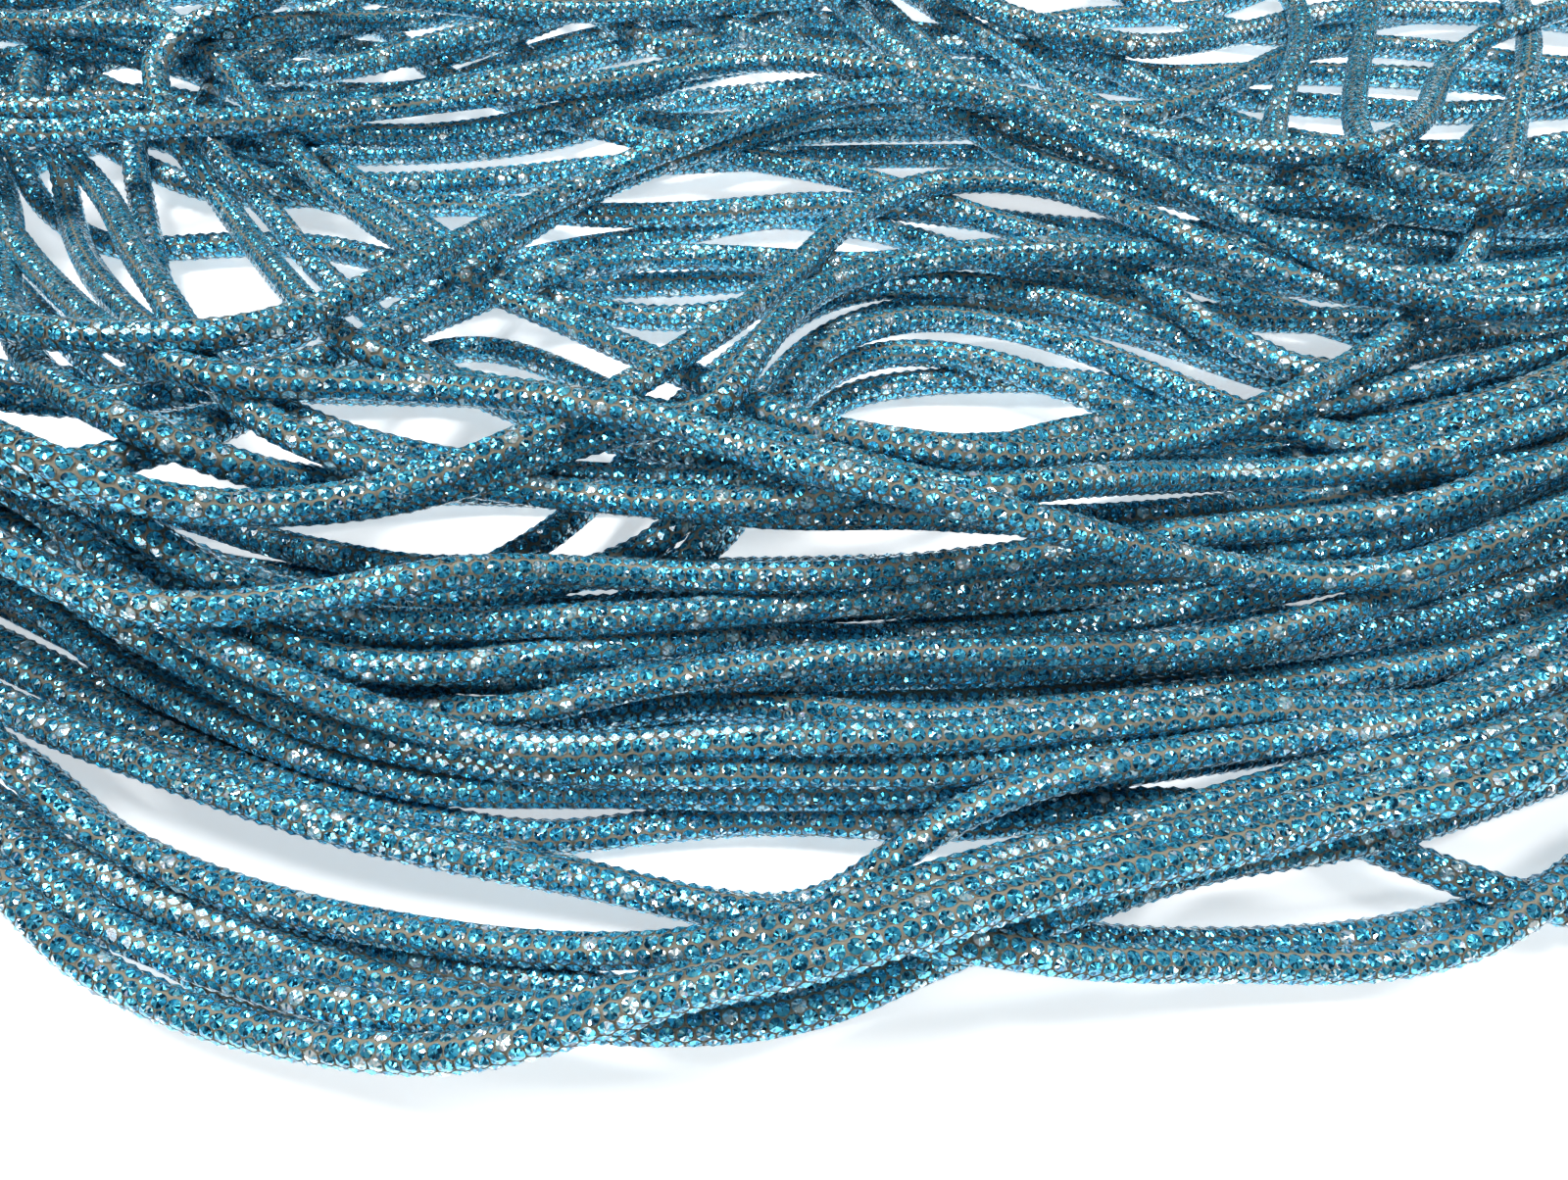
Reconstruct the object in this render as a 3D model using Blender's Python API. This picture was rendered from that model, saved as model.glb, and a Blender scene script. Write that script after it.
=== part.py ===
"""Rhinestone cord, one long piece lying in a loose heap of round turns.

The cord is laid turn by turn. TURNS lists, bottom turn first, the places that each turn goes through,
as centimetres on the floor where they are seen from a viewpoint EYE_HEIGHT above the zero place. A smooth
line joins them, and each stretch then settles on the floor and on the turns below it, which gives the
heights. The solid is one tube along that line. Metres, +Z up, origin in the middle of the heap's foot.
"""
from collections import namedtuple

import bpy
import numpy as np

# the cord
TUBE_RADIUS = 0.0028          # to the corners of the plain six-sided tube, just inside the stones' tops
HALF_SIDE = 0.00243           # from its middle to its flat sides
LAY_SPACING = 0.0058          # between the middles of turns that lie side by side
LAY_RISE = 0.0049             # between their heights at a crossing, where the soft cord gives

# the viewpoint that the places in TURNS are seen from, and the middle of the heap as it lies from there
EYE_HEIGHT = 0.186
HEAP_MIDDLE = (-0.0021, 0.199)
VIEW_HALF_WIDTH = 0.1037      # of the seen floor at the viewpoint's foot
VIEW_SPREAD = 0.362           # by which it grows with the distance
VIEW_FAR = 0.317              # where the seen floor ends
VIEW_MARGIN = 0.05            # over which a place stops to shift towards the viewpoint as it rises

# the line through the places
CM = 0.01
STEP = 0.0025                 # between samples of the line
CURVE_PARTS = 24              # samples on each arc before they are spaced evenly
LINE_EASE = 5                 # reach of the smoothing of the line, in samples
HEIGHT_EASE = 8               # of its heights
SLIDE_EASE = 20               # of its sideways slides
TUBE_TOLERANCE = 0.00215      # how far a straight piece of the tube may leave its arc
LONGEST_PIECE = 40            # samples in one straight piece of the tube
STRADDLE = 0.75               # share of an arc's mean bulge by which its piece moves out

# how a stretch settles
SAG_RADIUS = 0.045            # the cord bends down this sharply beside a crossing
SAG_REACH = 30
SLIDE_LIMIT = 0.002           # how far a stretch may slide off the one below it
SLIDE_STEP = 0.0006
STEEPEST = 2.5
FEELER = 0.0015               # half the width over which a slope is felt
CELL = 0.0005                 # of the height field
FIELD_CORNER = np.array([-0.46, 0.0])
FIELD_CELLS = (1840, 840)
BLOCK = 60                    # samples laid at a time
OVERLAP = 40                  # samples of the block before that may still move
FREEING = 15                  # samples over which a block gets free to slide
FADING = 20                   # samples over which the last block's slide fades
ROUNDS = 16

GREY_BEIGE_BLUE = (0.075, 0.22, 0.31, 1.0)

Turn = namedtuple("Turn", "name front back")
TURNS = [
    Turn("under_edge",
         [(-15.1, 8.5), (-13.2, 7.8), (-11.9, 6.9), (-10.5, 5.8), (-8.9, 4.9), (-6.9, 4.4),
          (-4.5, 4.4), (-1.5, 4.8), (1.6, 5.6), (3.1, 6), (4.6, 5.5), (6.9, 5.4), (9, 5.5),
          (10.6, 5.8), (12.7, 6.4), (14.9, 7.1)],
         [(24, 11), (33, 18), (34, 27), (27, 34), (20, 36.4), (14.8, 32.9), (11.3, 31), (8.1, 30.7),
          (4.8, 29.9), (1.6, 30.5), (-0.8, 30.6), (-3.2, 30.3), (-5.3, 29.7), (-7.3, 28.7),
          (-9.2, 27.5), (-11.9, 27.4), (-15.5, 28.5), (-19.6, 29.8), (-23.5, 30.3), (-29, 30),
          (-33, 23), (-29, 16), (-22, 12)]),
    Turn("under_front",
         [(-16.9, 11.9), (-14.3, 10.9), (-13, 10.3), (-11.6, 9.6), (-10.1, 9), (-8.1, 8.5),
          (-5.7, 8.1), (-3, 8.1), (0, 8.3), (3.4, 8.7), (6.9, 9.2), (10.4, 9.8), (14.3, 10.8),
          (17.2, 11.7)],
         [(25, 17), (30, 22), (27, 27), (23.3, 27.2), (20.1, 26.7), (18.2, 26.6), (16.5, 26.5),
          (15, 26.7), (13.3, 26.9), (11.6, 27.1), (9.7, 27.5), (7.4, 28), (5.7, 28.3), (3.9, 28.3),
          (2, 27.9), (0, 27.4), (-2, 27.1), (-3.7, 26.6), (-5.2, 25.7), (-7.3, 25.1), (-9.7, 24.9),
          (-11.6, 24.9), (-13.9, 25.2), (-16.2, 25.6), (-18.2, 24.8), (-20.2, 22.7), (-28, 25),
          (-31, 20), (-26, 15.5)]),
    Turn("under_middle",
         [(-17.5, 13), (-14.6, 11.6), (-13, 10.8), (-11.4, 10), (-9.6, 9.2), (-7.6, 8.8), (-4.8, 8.8),
          (-1.7, 9.3), (1.2, 9.8), (4.4, 9.9), (7.9, 10.2), (10.7, 10.6), (13, 11.1), (15.4, 11.8),
          (18, 12.7)],
         [(25.5, 18), (28, 21), (26, 25), (21.3, 23.7), (19.3, 24.5), (16.9, 24.7), (14.5, 24.9),
          (12.5, 25.4), (10.6, 25.9), (8.7, 26.3), (6.7, 26.2), (4.9, 25.9), (3.2, 25.8), (1.2, 25.8),
          (-1, 25.4), (-2.7, 24.8), (-4.8, 24.2), (-7.1, 23.7), (-9.5, 23.6), (-11.5, 23.3),
          (-13.4, 23.4), (-15.3, 24.3), (-17.2, 25.6), (-19.3, 26.8), (-22.4, 27.6), (-27, 28),
          (-31, 23.5), (-27, 17.5)]),
    Turn("under_right",
         [(-18.1, 14.5), (-14.9, 12.6), (-11.8, 11.3), (-8.6, 10.8), (-5.3, 10.6), (-2, 10.7),
          (0.9, 10.9), (3.6, 11.3), (5.8, 11.5), (8.2, 11.4), (9.9, 11.2), (11.4, 11.4), (13.2, 11.9),
          (15.4, 12.7), (18, 13.7)],
         [(25, 19), (26, 21.5), (19.8, 20), (16.7, 19.9), (14, 19.8), (12.1, 20.1), (10.2, 20.5),
          (8.4, 20.4), (6.7, 20.5), (4.7, 21), (3, 21.8), (1.4, 22.3), (-0.2, 22.6), (-1.6, 22.2),
          (-3, 21.8), (-4.5, 21.5), (-5.9, 21.1), (-7.3, 20.5), (-8.9, 20.3), (-9.9, 19.8),
          (-10.5, 18.7), (-11.9, 18.1), (-13.1, 17.5), (-14.6, 17.3), (-16.1, 17.5), (-18.5, 17.8),
          (-24, 20), (-25, 17.5), (-22, 15.5)]),
    Turn("under_arch",
         [(-18.5, 15.2), (-15.3, 13.5), (-12, 12.2), (-8.2, 11.5), (-3.6, 11.6), (0.9, 11.9),
          (5.6, 12.3), (10.4, 13), (15.6, 14.3), (18.3, 15.2)],
         [(22.5, 18.2), (18.3, 16.4), (15.6, 16.8), (13.2, 17), (10.8, 17.2), (9.3, 17.9),
          (7.5, 18.8), (5.4, 19.4), (3.3, 19.6), (1.6, 19.1), (0.5, 18.3), (-0.3, 17.2), (-0.9, 16.2),
          (-1.5, 15.2), (-2.1, 14.5), (-3.1, 14.3), (-4.7, 14.3), (-6.4, 14.4), (-8, 14.3),
          (-9.6, 13.9), (-11, 13.7), (-12.5, 13.9), (-14.3, 14.6), (-17.2, 15.6), (-20, 18),
          (-21.5, 16.5), (-19.5, 15.2)]),
    Turn("under_gap",
         [(-17.9, 15.2), (-15, 14), (-12.6, 12.9), (-10, 12.2), (-7, 12), (-2.8, 12.2), (1.9, 12.3),
          (5.6, 12.6), (9.4, 12.9), (13, 13.5), (16.4, 14.5)],
         [(20.5, 15.3), (16.7, 15.2), (14.1, 15.8), (11.3, 16.1), (9.4, 16.4), (7.8, 16.9),
          (6.2, 17.3), (4.6, 17.4), (3, 17.3), (1.9, 17.1), (1, 16.7), (0.3, 15.7), (-0.4, 14.5),
          (-1.1, 13.1), (-2, 12.4), (-3.5, 12.3), (-5.2, 12.4), (-6.9, 12.3), (-8.6, 12.6),
          (-10.2, 13), (-11.9, 13.7), (-13.8, 14.2), (-17, 14.9), (-20.5, 17.6), (-24, 14.5),
          (-23, 11.5)]),
    Turn("edge_low",
         [(-19.5, 10.3), (-13.5, 8.6), (-11, 6.9), (-8, 5.7), (-5, 4.95), (-1.5, 4.7), (1, 5.15),
          (3, 5.8), (6, 7), (9, 8), (12, 8.75), (15, 9.8), (23.4, 13.5), (30.4, 20), (27.7, 27)],
         [(21, 30.6), (17, 30.9), (15, 30.2), (13, 30), (11, 30.8), (8, 33), (2, 35), (-6, 35),
          (-13, 34), (-21, 31.5), (-30.1, 26), (-31.3, 19.5), (-23.8, 15.5)]),
    Turn("dark_far",
         [(-15, 14.2), (-12.5, 13.1), (-10, 12.4), (-7, 11.9), (-4, 11.75), (0, 11.75), (4, 12),
          (8, 12.45), (12, 13.5), (15, 14.7), (21.2, 17), (28, 21), (25.9, 24.5)],
         [(19.5, 25.3), (15, 24.3), (11, 24.2), (8, 24.6), (4, 24.9), (0, 24.9), (-4, 24.6),
          (-7, 24.1), (-10, 23.9), (-12, 24.2), (-14.5, 25.2), (-18, 26.3), (-25.1, 24.5),
          (-26.9, 19), (-20.9, 14.5)]),
    Turn("dark_near",
         [(-14, 12), (-11, 10.8), (-8, 9.9), (-5, 9.2), (-3, 9.3), (-1.5, 9.65), (0, 9.65), (2, 9.45),
          (5, 9.45), (8, 9.7), (12, 10.3), (15, 11.5), (21.7, 14.5), (26.1, 19), (24.8, 22)],
         [(19, 22.9), (15, 22.7), (12, 22.2), (9, 22), (6, 22.1), (3, 22.6), (1, 22.8), (-2, 22.5),
          (-4.5, 22.6), (-7.5, 23.2), (-10, 23.1), (-13, 24.4), (-16, 26.6), (-20, 28.6),
          (-29.1, 27.5), (-34, 21), (-29.1, 15), (-20.5, 12.6)]),
    Turn("near_under",
         [(-16.2, 11.8), (-14.3, 10.8), (-12, 9.8), (-10, 8.9), (-7, 7.95), (-4, 7.35), (-2, 7.55),
          (0, 7.6), (3, 7.3), (6, 7.6), (8.5, 7.45), (10, 6.95), (11.5, 6.4), (13.5, 5.92), (20.3, 7),
          (29.8, 11), (34.7, 17), (30.7, 22.5)],
         [(21.4, 24.4), (16, 23.7), (13, 23.6), (10, 24.4), (6, 25.6), (2, 26.3), (-2, 25.8),
          (-3.7, 26), (-5, 26.9), (-6.2, 28.2), (-7.5, 29.8), (-9.5, 31.8), (-14, 33.3), (-21, 32.7),
          (-31.9, 28.5), (-34.8, 21), (-26, 15.5)]),
    Turn("deep_right",
         [(-14.5, 12.6), (-11.5, 11.4), (-8, 10.2), (-4, 9.9), (0, 10), (4, 10.1), (8, 10.45),
          (12, 11.15), (15, 12.3), (20.2, 14.6), (22, 16.8)],
         [(18.8, 17.9), (16, 17.7), (14.5, 17.9), (12.5, 18.8), (10.5, 19.9), (8.5, 21), (5, 22.4),
          (2, 23.7), (-2, 24.9), (-6, 26.4), (-9, 28.2), (-11, 30.3), (-14.5, 32), (-20.5, 31),
          (-27.1, 26), (-26.9, 19), (-20.9, 14.8)]),
    Turn("deep_back",
         [(-19.5, 25.8), (-17.5, 23), (-15.3, 21.5), (-13, 21.6), (-10.5, 21.5), (-8, 20.8),
          (-5, 20.4), (-2, 20.4), (1, 20.6), (4, 20.2), (7, 19.8), (9.5, 19.4), (11.5, 19.3),
          (14, 19.3), (17, 19), (22.1, 20.5), (24.5, 24)],
         [(20.5, 27), (16.5, 27.8), (12.5, 28), (9.5, 27.9), (7.5, 28.8), (5, 29.5), (2, 29.6),
          (-1, 30.3), (-4.5, 29.3), (-7, 28.2), (-10, 27.4), (-13, 27.1), (-16.5, 28.9),
          (-20.5, 28.8), (-22.8, 25)]),
    Turn("deep_mid",
         [(-19.3, 21.8), (-16.5, 19.2), (-14.5, 17.5), (-12.5, 16.5), (-10.5, 17), (-8.5, 17.8),
          (-6.5, 18.3), (-4, 17.2), (-2, 15.9), (0, 15.5), (2.5, 15.6), (5, 15.5), (8, 15.6),
          (11, 16.2), (14, 16.9), (17, 17.3), (23.9, 19), (28.3, 23.5)],
         [(23.1, 27.5), (18.8, 26.6), (16.8, 24.9), (14.5, 23.2), (12, 22.7), (9.5, 23.3), (7, 25.2),
          (5, 27.4), (3.5, 30), (1.5, 32.5), (-3, 33), (-6.5, 30.5), (-9, 28.9), (-12.5, 29.2),
          (-16, 29.4), (-20, 28), (-24.5, 24), (-22.1, 20.5)]),
    Turn("mid_second",
         [(-20.5, 17), (-14, 13.2), (-11.5, 11.9), (-9.5, 10.9), (-7.5, 10), (-5, 9.65), (-3, 10.1),
          (0, 10.4), (4, 10.5), (8, 10.7), (12, 11.9), (15, 13), (20.1, 14.8), (21.3, 16.8)],
         [(21.1, 17.8), (15, 17.2), (12, 17.6), (9.5, 18.2), (8, 19.1), (6, 20), (4, 20.4), (2, 20.3),
          (0.5, 19.7), (-0.8, 18.3), (-1.8, 17), (-2.6, 15.7), (-3.5, 14.3), (-4.8, 13), (-7, 11.9),
          (-10, 11.6), (-13.5, 12.8), (-18, 14.2), (-24.2, 12.8)]),
    Turn("first_row",
         [(-14.4, 12.2), (-12, 10.6), (-10, 9.5), (-8, 8.55), (-6, 8), (-3, 7.9), (0, 7.75), (3, 7.8),
          (6, 8.2), (9, 8.7), (12, 9.3), (14.8, 10.3), (19.1, 12), (20.9, 14.5)],
         [(19.9, 16.2), (15.5, 16.3), (12.5, 15.5), (10, 15.4), (8.3, 16), (6.5, 16.9), (4.5, 17.7),
          (3, 18), (1.5, 17.7), (0.3, 16.6), (-0.6, 15.2), (-1.2, 14), (-2, 12.6), (-4, 11.3),
          (-8, 10.9), (-12, 12.4), (-16, 14), (-22.9, 14.6), (-24.4, 12)]),
    Turn("second_row",
         [(-16, 14.5), (-14.2, 13), (-12.5, 11.75), (-10.5, 10.6), (-8.5, 9.5), (-6.5, 8.85),
          (-4.5, 8.35), (-3, 8.2), (0, 8.15), (3, 8.2), (6, 8.6), (9, 9), (12, 9.9), (15, 11.5),
          (19.6, 13.6), (22.2, 16)],
         [(20.4, 17.5), (16, 17), (13, 16.4), (10.5, 16.2), (8.6, 17.2), (7, 18.2), (5, 19),
          (3, 19.15), (1.5, 18.6), (0.6, 17.7), (0, 16.5), (-0.8, 15.2), (-1.5, 14), (-2.5, 12.8),
          (-5, 11.9), (-9, 11.7), (-13, 13.2), (-17.9, 14.5), (-22.7, 13)]),
    Turn("mid_third",
         [(-14.5, 13.5), (-11.5, 12.3), (-8.5, 10.8), (-6, 10.4), (-3.5, 10.7), (0, 11), (4, 11.2),
          (8, 11.9), (12, 12.6), (15, 13.8), (20.7, 15.6), (22.6, 17.6)],
         [(17.5, 18.4), (14.5, 18.4), (12.8, 17.9), (11.5, 17.4), (10.2, 18.3), (9.2, 19.1),
          (8.4, 20.2), (7, 20.9), (4, 21), (1.5, 20.3), (-1, 19.3), (-3, 19.2), (-5, 19.9),
          (-7.5, 21.5), (-10, 23.4), (-13, 25.5), (-16, 27), (-21.8, 26.6), (-27.2, 21.5), (-22.9, 16)]),
    Turn("third_row",
         [(-14.8, 14), (-12.5, 12.4), (-10.5, 11.2), (-8.5, 10.2), (-6.5, 9.5), (-4.5, 8.85),
          (-3, 8.75), (0, 8.75), (3, 8.8), (6, 9.1), (9, 9.4), (12, 9.7), (15, 10.9), (23.4, 13.5),
          (28.6, 18)],
         [(23.4, 21.4), (17.5, 21.8), (14, 22), (11, 22.9), (8, 24.3), (5.5, 26.3), (4.2, 28),
          (3.2, 29.2), (2.3, 30.6), (1.3, 32), (-3, 34.3), (-10, 33.2), (-13, 30.9), (-15, 30.1),
          (-18, 30.5), (-25.1, 29), (-30.7, 22.5), (-23.5, 17)]),
    Turn("fourth_row",
         [(-14.5, 14.3), (-11, 12.2), (-9, 11.4), (-7, 11.05), (-5, 11.1), (-3, 11.2), (0, 11.45),
          (3, 11.8), (5, 12.25), (8, 12.5), (12, 13.1), (15, 14.4), (20.6, 16.5), (25.3, 19.5)],
         [(21.8, 22), (16.5, 22.4), (13.5, 22.9), (11, 24), (9, 25.7), (7.5, 27.4), (6, 29.4),
          (4.5, 31), (2, 33), (-4, 34.8), (-12, 32.9), (-15.5, 30.6), (-18, 29), (-19, 26.5)]),
    Turn("left_steep",
         [(-16.6, 27), (-15.8, 24.8), (-15, 22.8), (-14.3, 21.1), (-13.7, 19.7), (-13, 18.6),
          (-12, 17.8), (-10.5, 17.3), (-8.5, 17.2), (-6, 17.1), (-3, 16.6), (0, 15.9), (3, 15.7),
          (6, 15.9), (9, 16.5), (12, 16.9), (15, 17.6), (21.5, 19.6), (23.3, 22)],
         [(18.5, 24.9), (15, 25.1), (12.5, 25.6), (10.5, 26.9), (8.8, 28.4), (7, 29.9), (5, 31.5),
          (2, 33.5), (-5, 33.2), (-9, 31.5), (-12.5, 29.8), (-14.8, 28)]),
    Turn("left_slope",
         [(-14.4, 25.6), (-13, 23.9), (-11.7, 22.5), (-10.9, 21.4), (-9.9, 20.3), (-8.8, 19.3),
          (-7.8, 18.3), (-6.8, 17.4), (-5, 16.5), (-3, 15.8), (0, 15.2), (3, 14.8), (6, 14.7),
          (9, 15.3), (12, 16), (15, 17), (20.1, 19.3), (22.4, 21.6)],
         [(18.5, 23.6), (15, 23.4), (13, 22.2), (11, 22.5), (9, 24), (7, 25.5), (5, 26.6), (3, 27.05),
          (0.5, 26.5), (-1.5, 25.5), (-3.5, 24.4), (-5.3, 22.9), (-6.6, 21.4), (-7.5, 20.3),
          (-8.5, 19.2), (-9.5, 17.9), (-10.5, 16.8), (-12, 15.6), (-15, 14.8), (-20.3, 14),
          (-24.5, 11.3)]),
    Turn("short_cross",
         [(-17.9, 10.4), (-13.6, 9.7), (-11, 8.9), (-9, 8.2), (-7, 7.6), (-5, 7.15), (-3, 6.65),
          (-1, 6.2), (0.4, 6.15), (1.3, 6.7), (2.1, 7.35), (4, 8.3), (7, 8.95), (12, 9.7), (15, 11),
          (20.4, 13.2), (24.2, 17)],
         [(22.2, 20), (17, 20.9), (14, 21.1), (11, 21.6), (8, 21.6), (4, 21.4), (2, 20.9), (0, 20.9),
          (-3, 21), (-5, 20.7), (-7, 19.8), (-9, 18.6), (-11, 17.5), (-13.5, 16.6), (-17, 16.4),
          (-26, 15.5), (-27.3, 12.3)]),
    Turn("front_under",
         [(-19.6, 9.5), (-13, 7.5), (-9, 5.75), (-6, 4.95), (-3.5, 4.5), (-1.5, 4.38), (0.5, 4.62),
          (2.2, 5.35), (4, 6), (7, 6.95), (9, 7.25), (11, 7.75), (13, 8.4), (16.6, 9.4), (25.1, 12.5),
          (32.3, 18), (33.3, 25)],
         [(27, 31), (18, 34.3), (11, 35), (4, 33.5), (-1, 30.3), (-2.8, 29.3), (-4.2, 30.2), (-8, 33),
          (-15, 34.5), (-22, 31)]),
    Turn("left_lower",
         [(-21.6, 27.5), (-19.5, 25), (-18, 22.5), (-17.4, 20.5), (-16.7, 19), (-15.6, 17.6),
          (-14, 16.5), (-12, 15.4), (-10, 14.6), (-7, 14.3), (-4, 14.15), (0, 14), (2.5, 14),
          (4.5, 13.7), (7, 13.6), (10, 14), (13, 14.8), (16.5, 16.4), (23.2, 18.5), (26.4, 21.5)],
         [(20.2, 23), (16, 23.6), (12, 23.4), (8.5, 23.7), (6, 24.9), (4.5, 26.5), (2.5, 27.8),
          (0.5, 28.9), (-1.5, 30), (-4, 31.8), (-9, 33.6), (-15, 33.2), (-19.5, 30.2)]),
    Turn("left_upper",
         [(-19.5, 27), (-18, 24.7), (-17, 22.6), (-16, 20.9), (-14.6, 19.3), (-13.2, 18.1),
          (-11.5, 16.9), (-10, 15.9), (-8.5, 15.3), (-6.5, 14.8), (-4, 14.5), (0, 14.35), (2.5, 14.3),
          (5, 14.55), (7, 14.65), (10, 14.9), (13, 15.6), (16.3, 17), (23.8, 19.5), (30.6, 23.5)],
         [(27.4, 28.5), (21, 30.8), (17.5, 31.2), (15, 31.2), (12, 30), (9.5, 29.4), (7, 30.4),
          (4, 32.3), (-1, 33), (-6, 31.2), (-9, 29.9), (-11, 28.8), (-13, 28.2), (-16, 28.4),
          (-19.5, 29.4), (-23, 30.3), (-26, 28.9), (-24.5, 27.3), (-20.5, 26.9), (-18.6, 25.9)]),
    Turn("left_third",
         [(-17.3, 24.5), (-16.1, 22.9), (-15.2, 21.3), (-14.1, 19.8), (-12.8, 18.2), (-11.5, 16.9),
          (-10, 16), (-8.5, 15.4), (-6.5, 14.9), (-4, 14.5), (-1.5, 14.3), (1, 14.45), (3.5, 15),
          (6, 15.7), (8, 16.1), (11, 16), (14, 15.2), (17, 15.6), (25.6, 17.5), (31.6, 22), (28.4, 27)],
         [(20, 28.4), (17, 29.2), (14, 29.3), (11, 27.5), (9, 26.5), (6, 26.9), (3, 28.1), (0, 28.8),
          (-3, 28), (-6, 26.5), (-9, 25.7), (-13, 25.9), (-17, 26.8), (-20.5, 26), (-25.2, 20),
          (-20.2, 14.5)]),
    Turn("fork",
         [(-17.8, 11), (-14.3, 10.1), (-13, 9.45), (-11, 8.75), (-9, 8.05), (-7, 7.45), (-5, 7),
          (-3, 6.6), (-1, 6.1), (1, 5.85), (3, 5.59), (5, 5.34), (7, 5.33), (9, 5.3), (11, 5.7),
          (13, 6.75), (16.8, 8.6), (25.1, 12), (32.6, 16.5), (31.1, 20.5)],
         [(24.7, 22.6), (18.5, 22.7), (15, 22.9), (12.3, 24.2), (12.4, 26.3), (13.2, 28.5),
          (13.9, 30.3), (13.5, 32.8), (8, 34.5), (-1, 34.5), (-10, 34), (-15, 34.9), (-18.4, 34),
          (-18.2, 32), (-16.5, 30.2)]),
    Turn("left_cross",
         [(-14.6, 28.2), (-13.2, 26.4), (-11.7, 24.6), (-10.2, 23), (-9, 22), (-8, 21.2), (-7, 20.4),
          (-6, 19.7), (-5, 19.1), (-4, 18.4), (-3, 17.8), (-2, 17.2), (-1, 16.6), (0.5, 15.8),
          (3, 15.3), (5, 15.2), (7, 15.4), (9, 15.95), (11, 16.8), (13, 18.1), (14.8, 19.6),
          (16.2, 21.5), (17.3, 23.6), (18.6, 26.5), (20.3, 30), (20, 33)],
         [(14, 35), (6, 35), (-1, 33.5), (-6, 32), (-10, 30.8), (-13, 30.4), (-16, 30), (-19.5, 30.5),
          (-27.5, 28), (-31.1, 20.5), (-23, 15.6)]),
    Turn("fifth_row",
         [(-16, 13.8), (-14.5, 12.9), (-12, 11.9), (-10, 11.85), (-8, 12.1), (-6, 12.45), (-3, 12.45),
          (-1, 12.45), (2, 12.6), (4, 12.8), (6, 13), (9, 13.3), (12, 13.8), (15, 15.1), (21.2, 17),
          (25.9, 20)],
         [(21.7, 23), (16.5, 23.4), (14.6, 24.6), (14.4, 26.3), (14.9, 28.3), (15.6, 30.3),
          (16.4, 33), (13, 35.5), (5, 36), (-4, 35.5), (-12, 33), (-16.5, 29.5), (-15.5, 26.5)]),
    Turn("left_fan",
         [(-13.5, 23.6), (-12, 21.6), (-10.7, 20), (-9.3, 18.6), (-7.5, 17.7), (-5.5, 17.1),
          (-3.5, 16.6), (-1.5, 16), (0, 15.5), (1.5, 15.1), (3.5, 14.6), (6, 14.9), (9, 15),
          (12, 15.2), (15, 16.1), (22.6, 18), (30.7, 22.5), (30.5, 28)],
         [(24, 31), (20, 30.2), (17.5, 28.2), (16.5, 26.3), (15, 25), (12, 24.7), (9, 25.4),
          (6, 27.2), (3, 28.6), (-1, 29), (-5, 27.7), (-9, 26.8), (-13, 26.4), (-17, 26.1),
          (-26.1, 23.5), (-29.5, 17), (-24.4, 12)]),
    Turn("edge_third",
         [(-15.7, 10.3), (-13.3, 8.7), (-12, 7.55), (-10, 6.45), (-8, 5.8), (-6, 5.4), (-4, 5.15),
          (-2, 5.2), (0, 5.65), (2, 6.3), (4, 6.85), (6, 7.5), (8, 8.2), (10, 8.75), (12, 9.1),
          (14.5, 10), (21.2, 12.8), (25.8, 16.5)],
         [(22.2, 19.8), (16.5, 20.4), (14, 20.4), (11.5, 21.1), (9, 21.5), (6, 21.5), (3, 21.2),
          (1, 20.3), (-0.1, 18.8), (-0.7, 17.4), (-1.3, 16.2), (-3, 15.9), (-4.5, 15.5), (-6, 14.9),
          (-7.5, 14.4), (-9, 14.05), (-11, 13.85), (-14, 14.2), (-20.2, 14.5), (-25.2, 11.5)]),
    Turn("edge_second",
         [(-18.1, 9.5), (-13, 7.5), (-11, 6.05), (-9, 5.3), (-7, 4.75), (-5, 4.5), (-3, 4.75),
          (-1, 5.2), (1, 5.75), (3, 6.5), (6, 7.3), (9, 8), (12, 8.8), (15, 10), (23.5, 12.8),
          (28.7, 17)],
         [(25.2, 20), (17.2, 20.3), (14.5, 20), (12.5, 20.3), (10.5, 21.3), (9, 22.4), (7, 23.7),
          (5, 24.1), (3, 23.8), (1.3, 22.5), (0.2, 20.9), (-1, 19.3), (-2.3, 17.9), (-3.5, 16.7),
          (-5, 15.7), (-7, 14.75), (-9, 14.3), (-12, 14.25), (-15, 15), (-20.7, 16), (-26.1, 19),
          (-24.7, 22.5)]),
    Turn("long_cross",
         [(-19, 22.8), (-16.9, 20.8), (-15.2, 19.3), (-13.5, 18.1), (-11.5, 17.3), (-9, 17),
          (-6, 16.75), (-4, 16.55), (-2, 16.15), (0, 15.4), (2, 14.8), (4, 14.2), (6, 13.5),
          (8, 12.8), (10, 12.5), (12, 12.8), (15, 14), (22.9, 16), (31.1, 20.5), (32.4, 26)],
         [(27, 31), (18, 33), (12, 33.3), (5, 32.5), (0, 31.8), (-6, 31.2), (-11, 31.6), (-16, 32.5),
          (-24.1, 30), (-33.4, 24.5), (-34, 17), (-24.6, 10.8)]),
    Turn("edge_first",
         [(-16.7, 8.9), (-12.7, 6.75), (-11, 5.43), (-9, 4.57), (-7, 4.14), (-5, 3.98), (-3.4, 4.35),
          (-1.5, 4.95), (0, 5.25), (2, 5.85), (4, 6.45), (6, 6.9), (8, 7.4), (10, 7.9), (12, 8.3),
          (15.1, 9.6), (24.4, 12.2), (31.2, 16)],
         [(26.8, 19.2), (18, 19.8), (15.5, 19.75), (13.5, 20.5), (11.5, 22.1), (9.5, 24.1),
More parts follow.
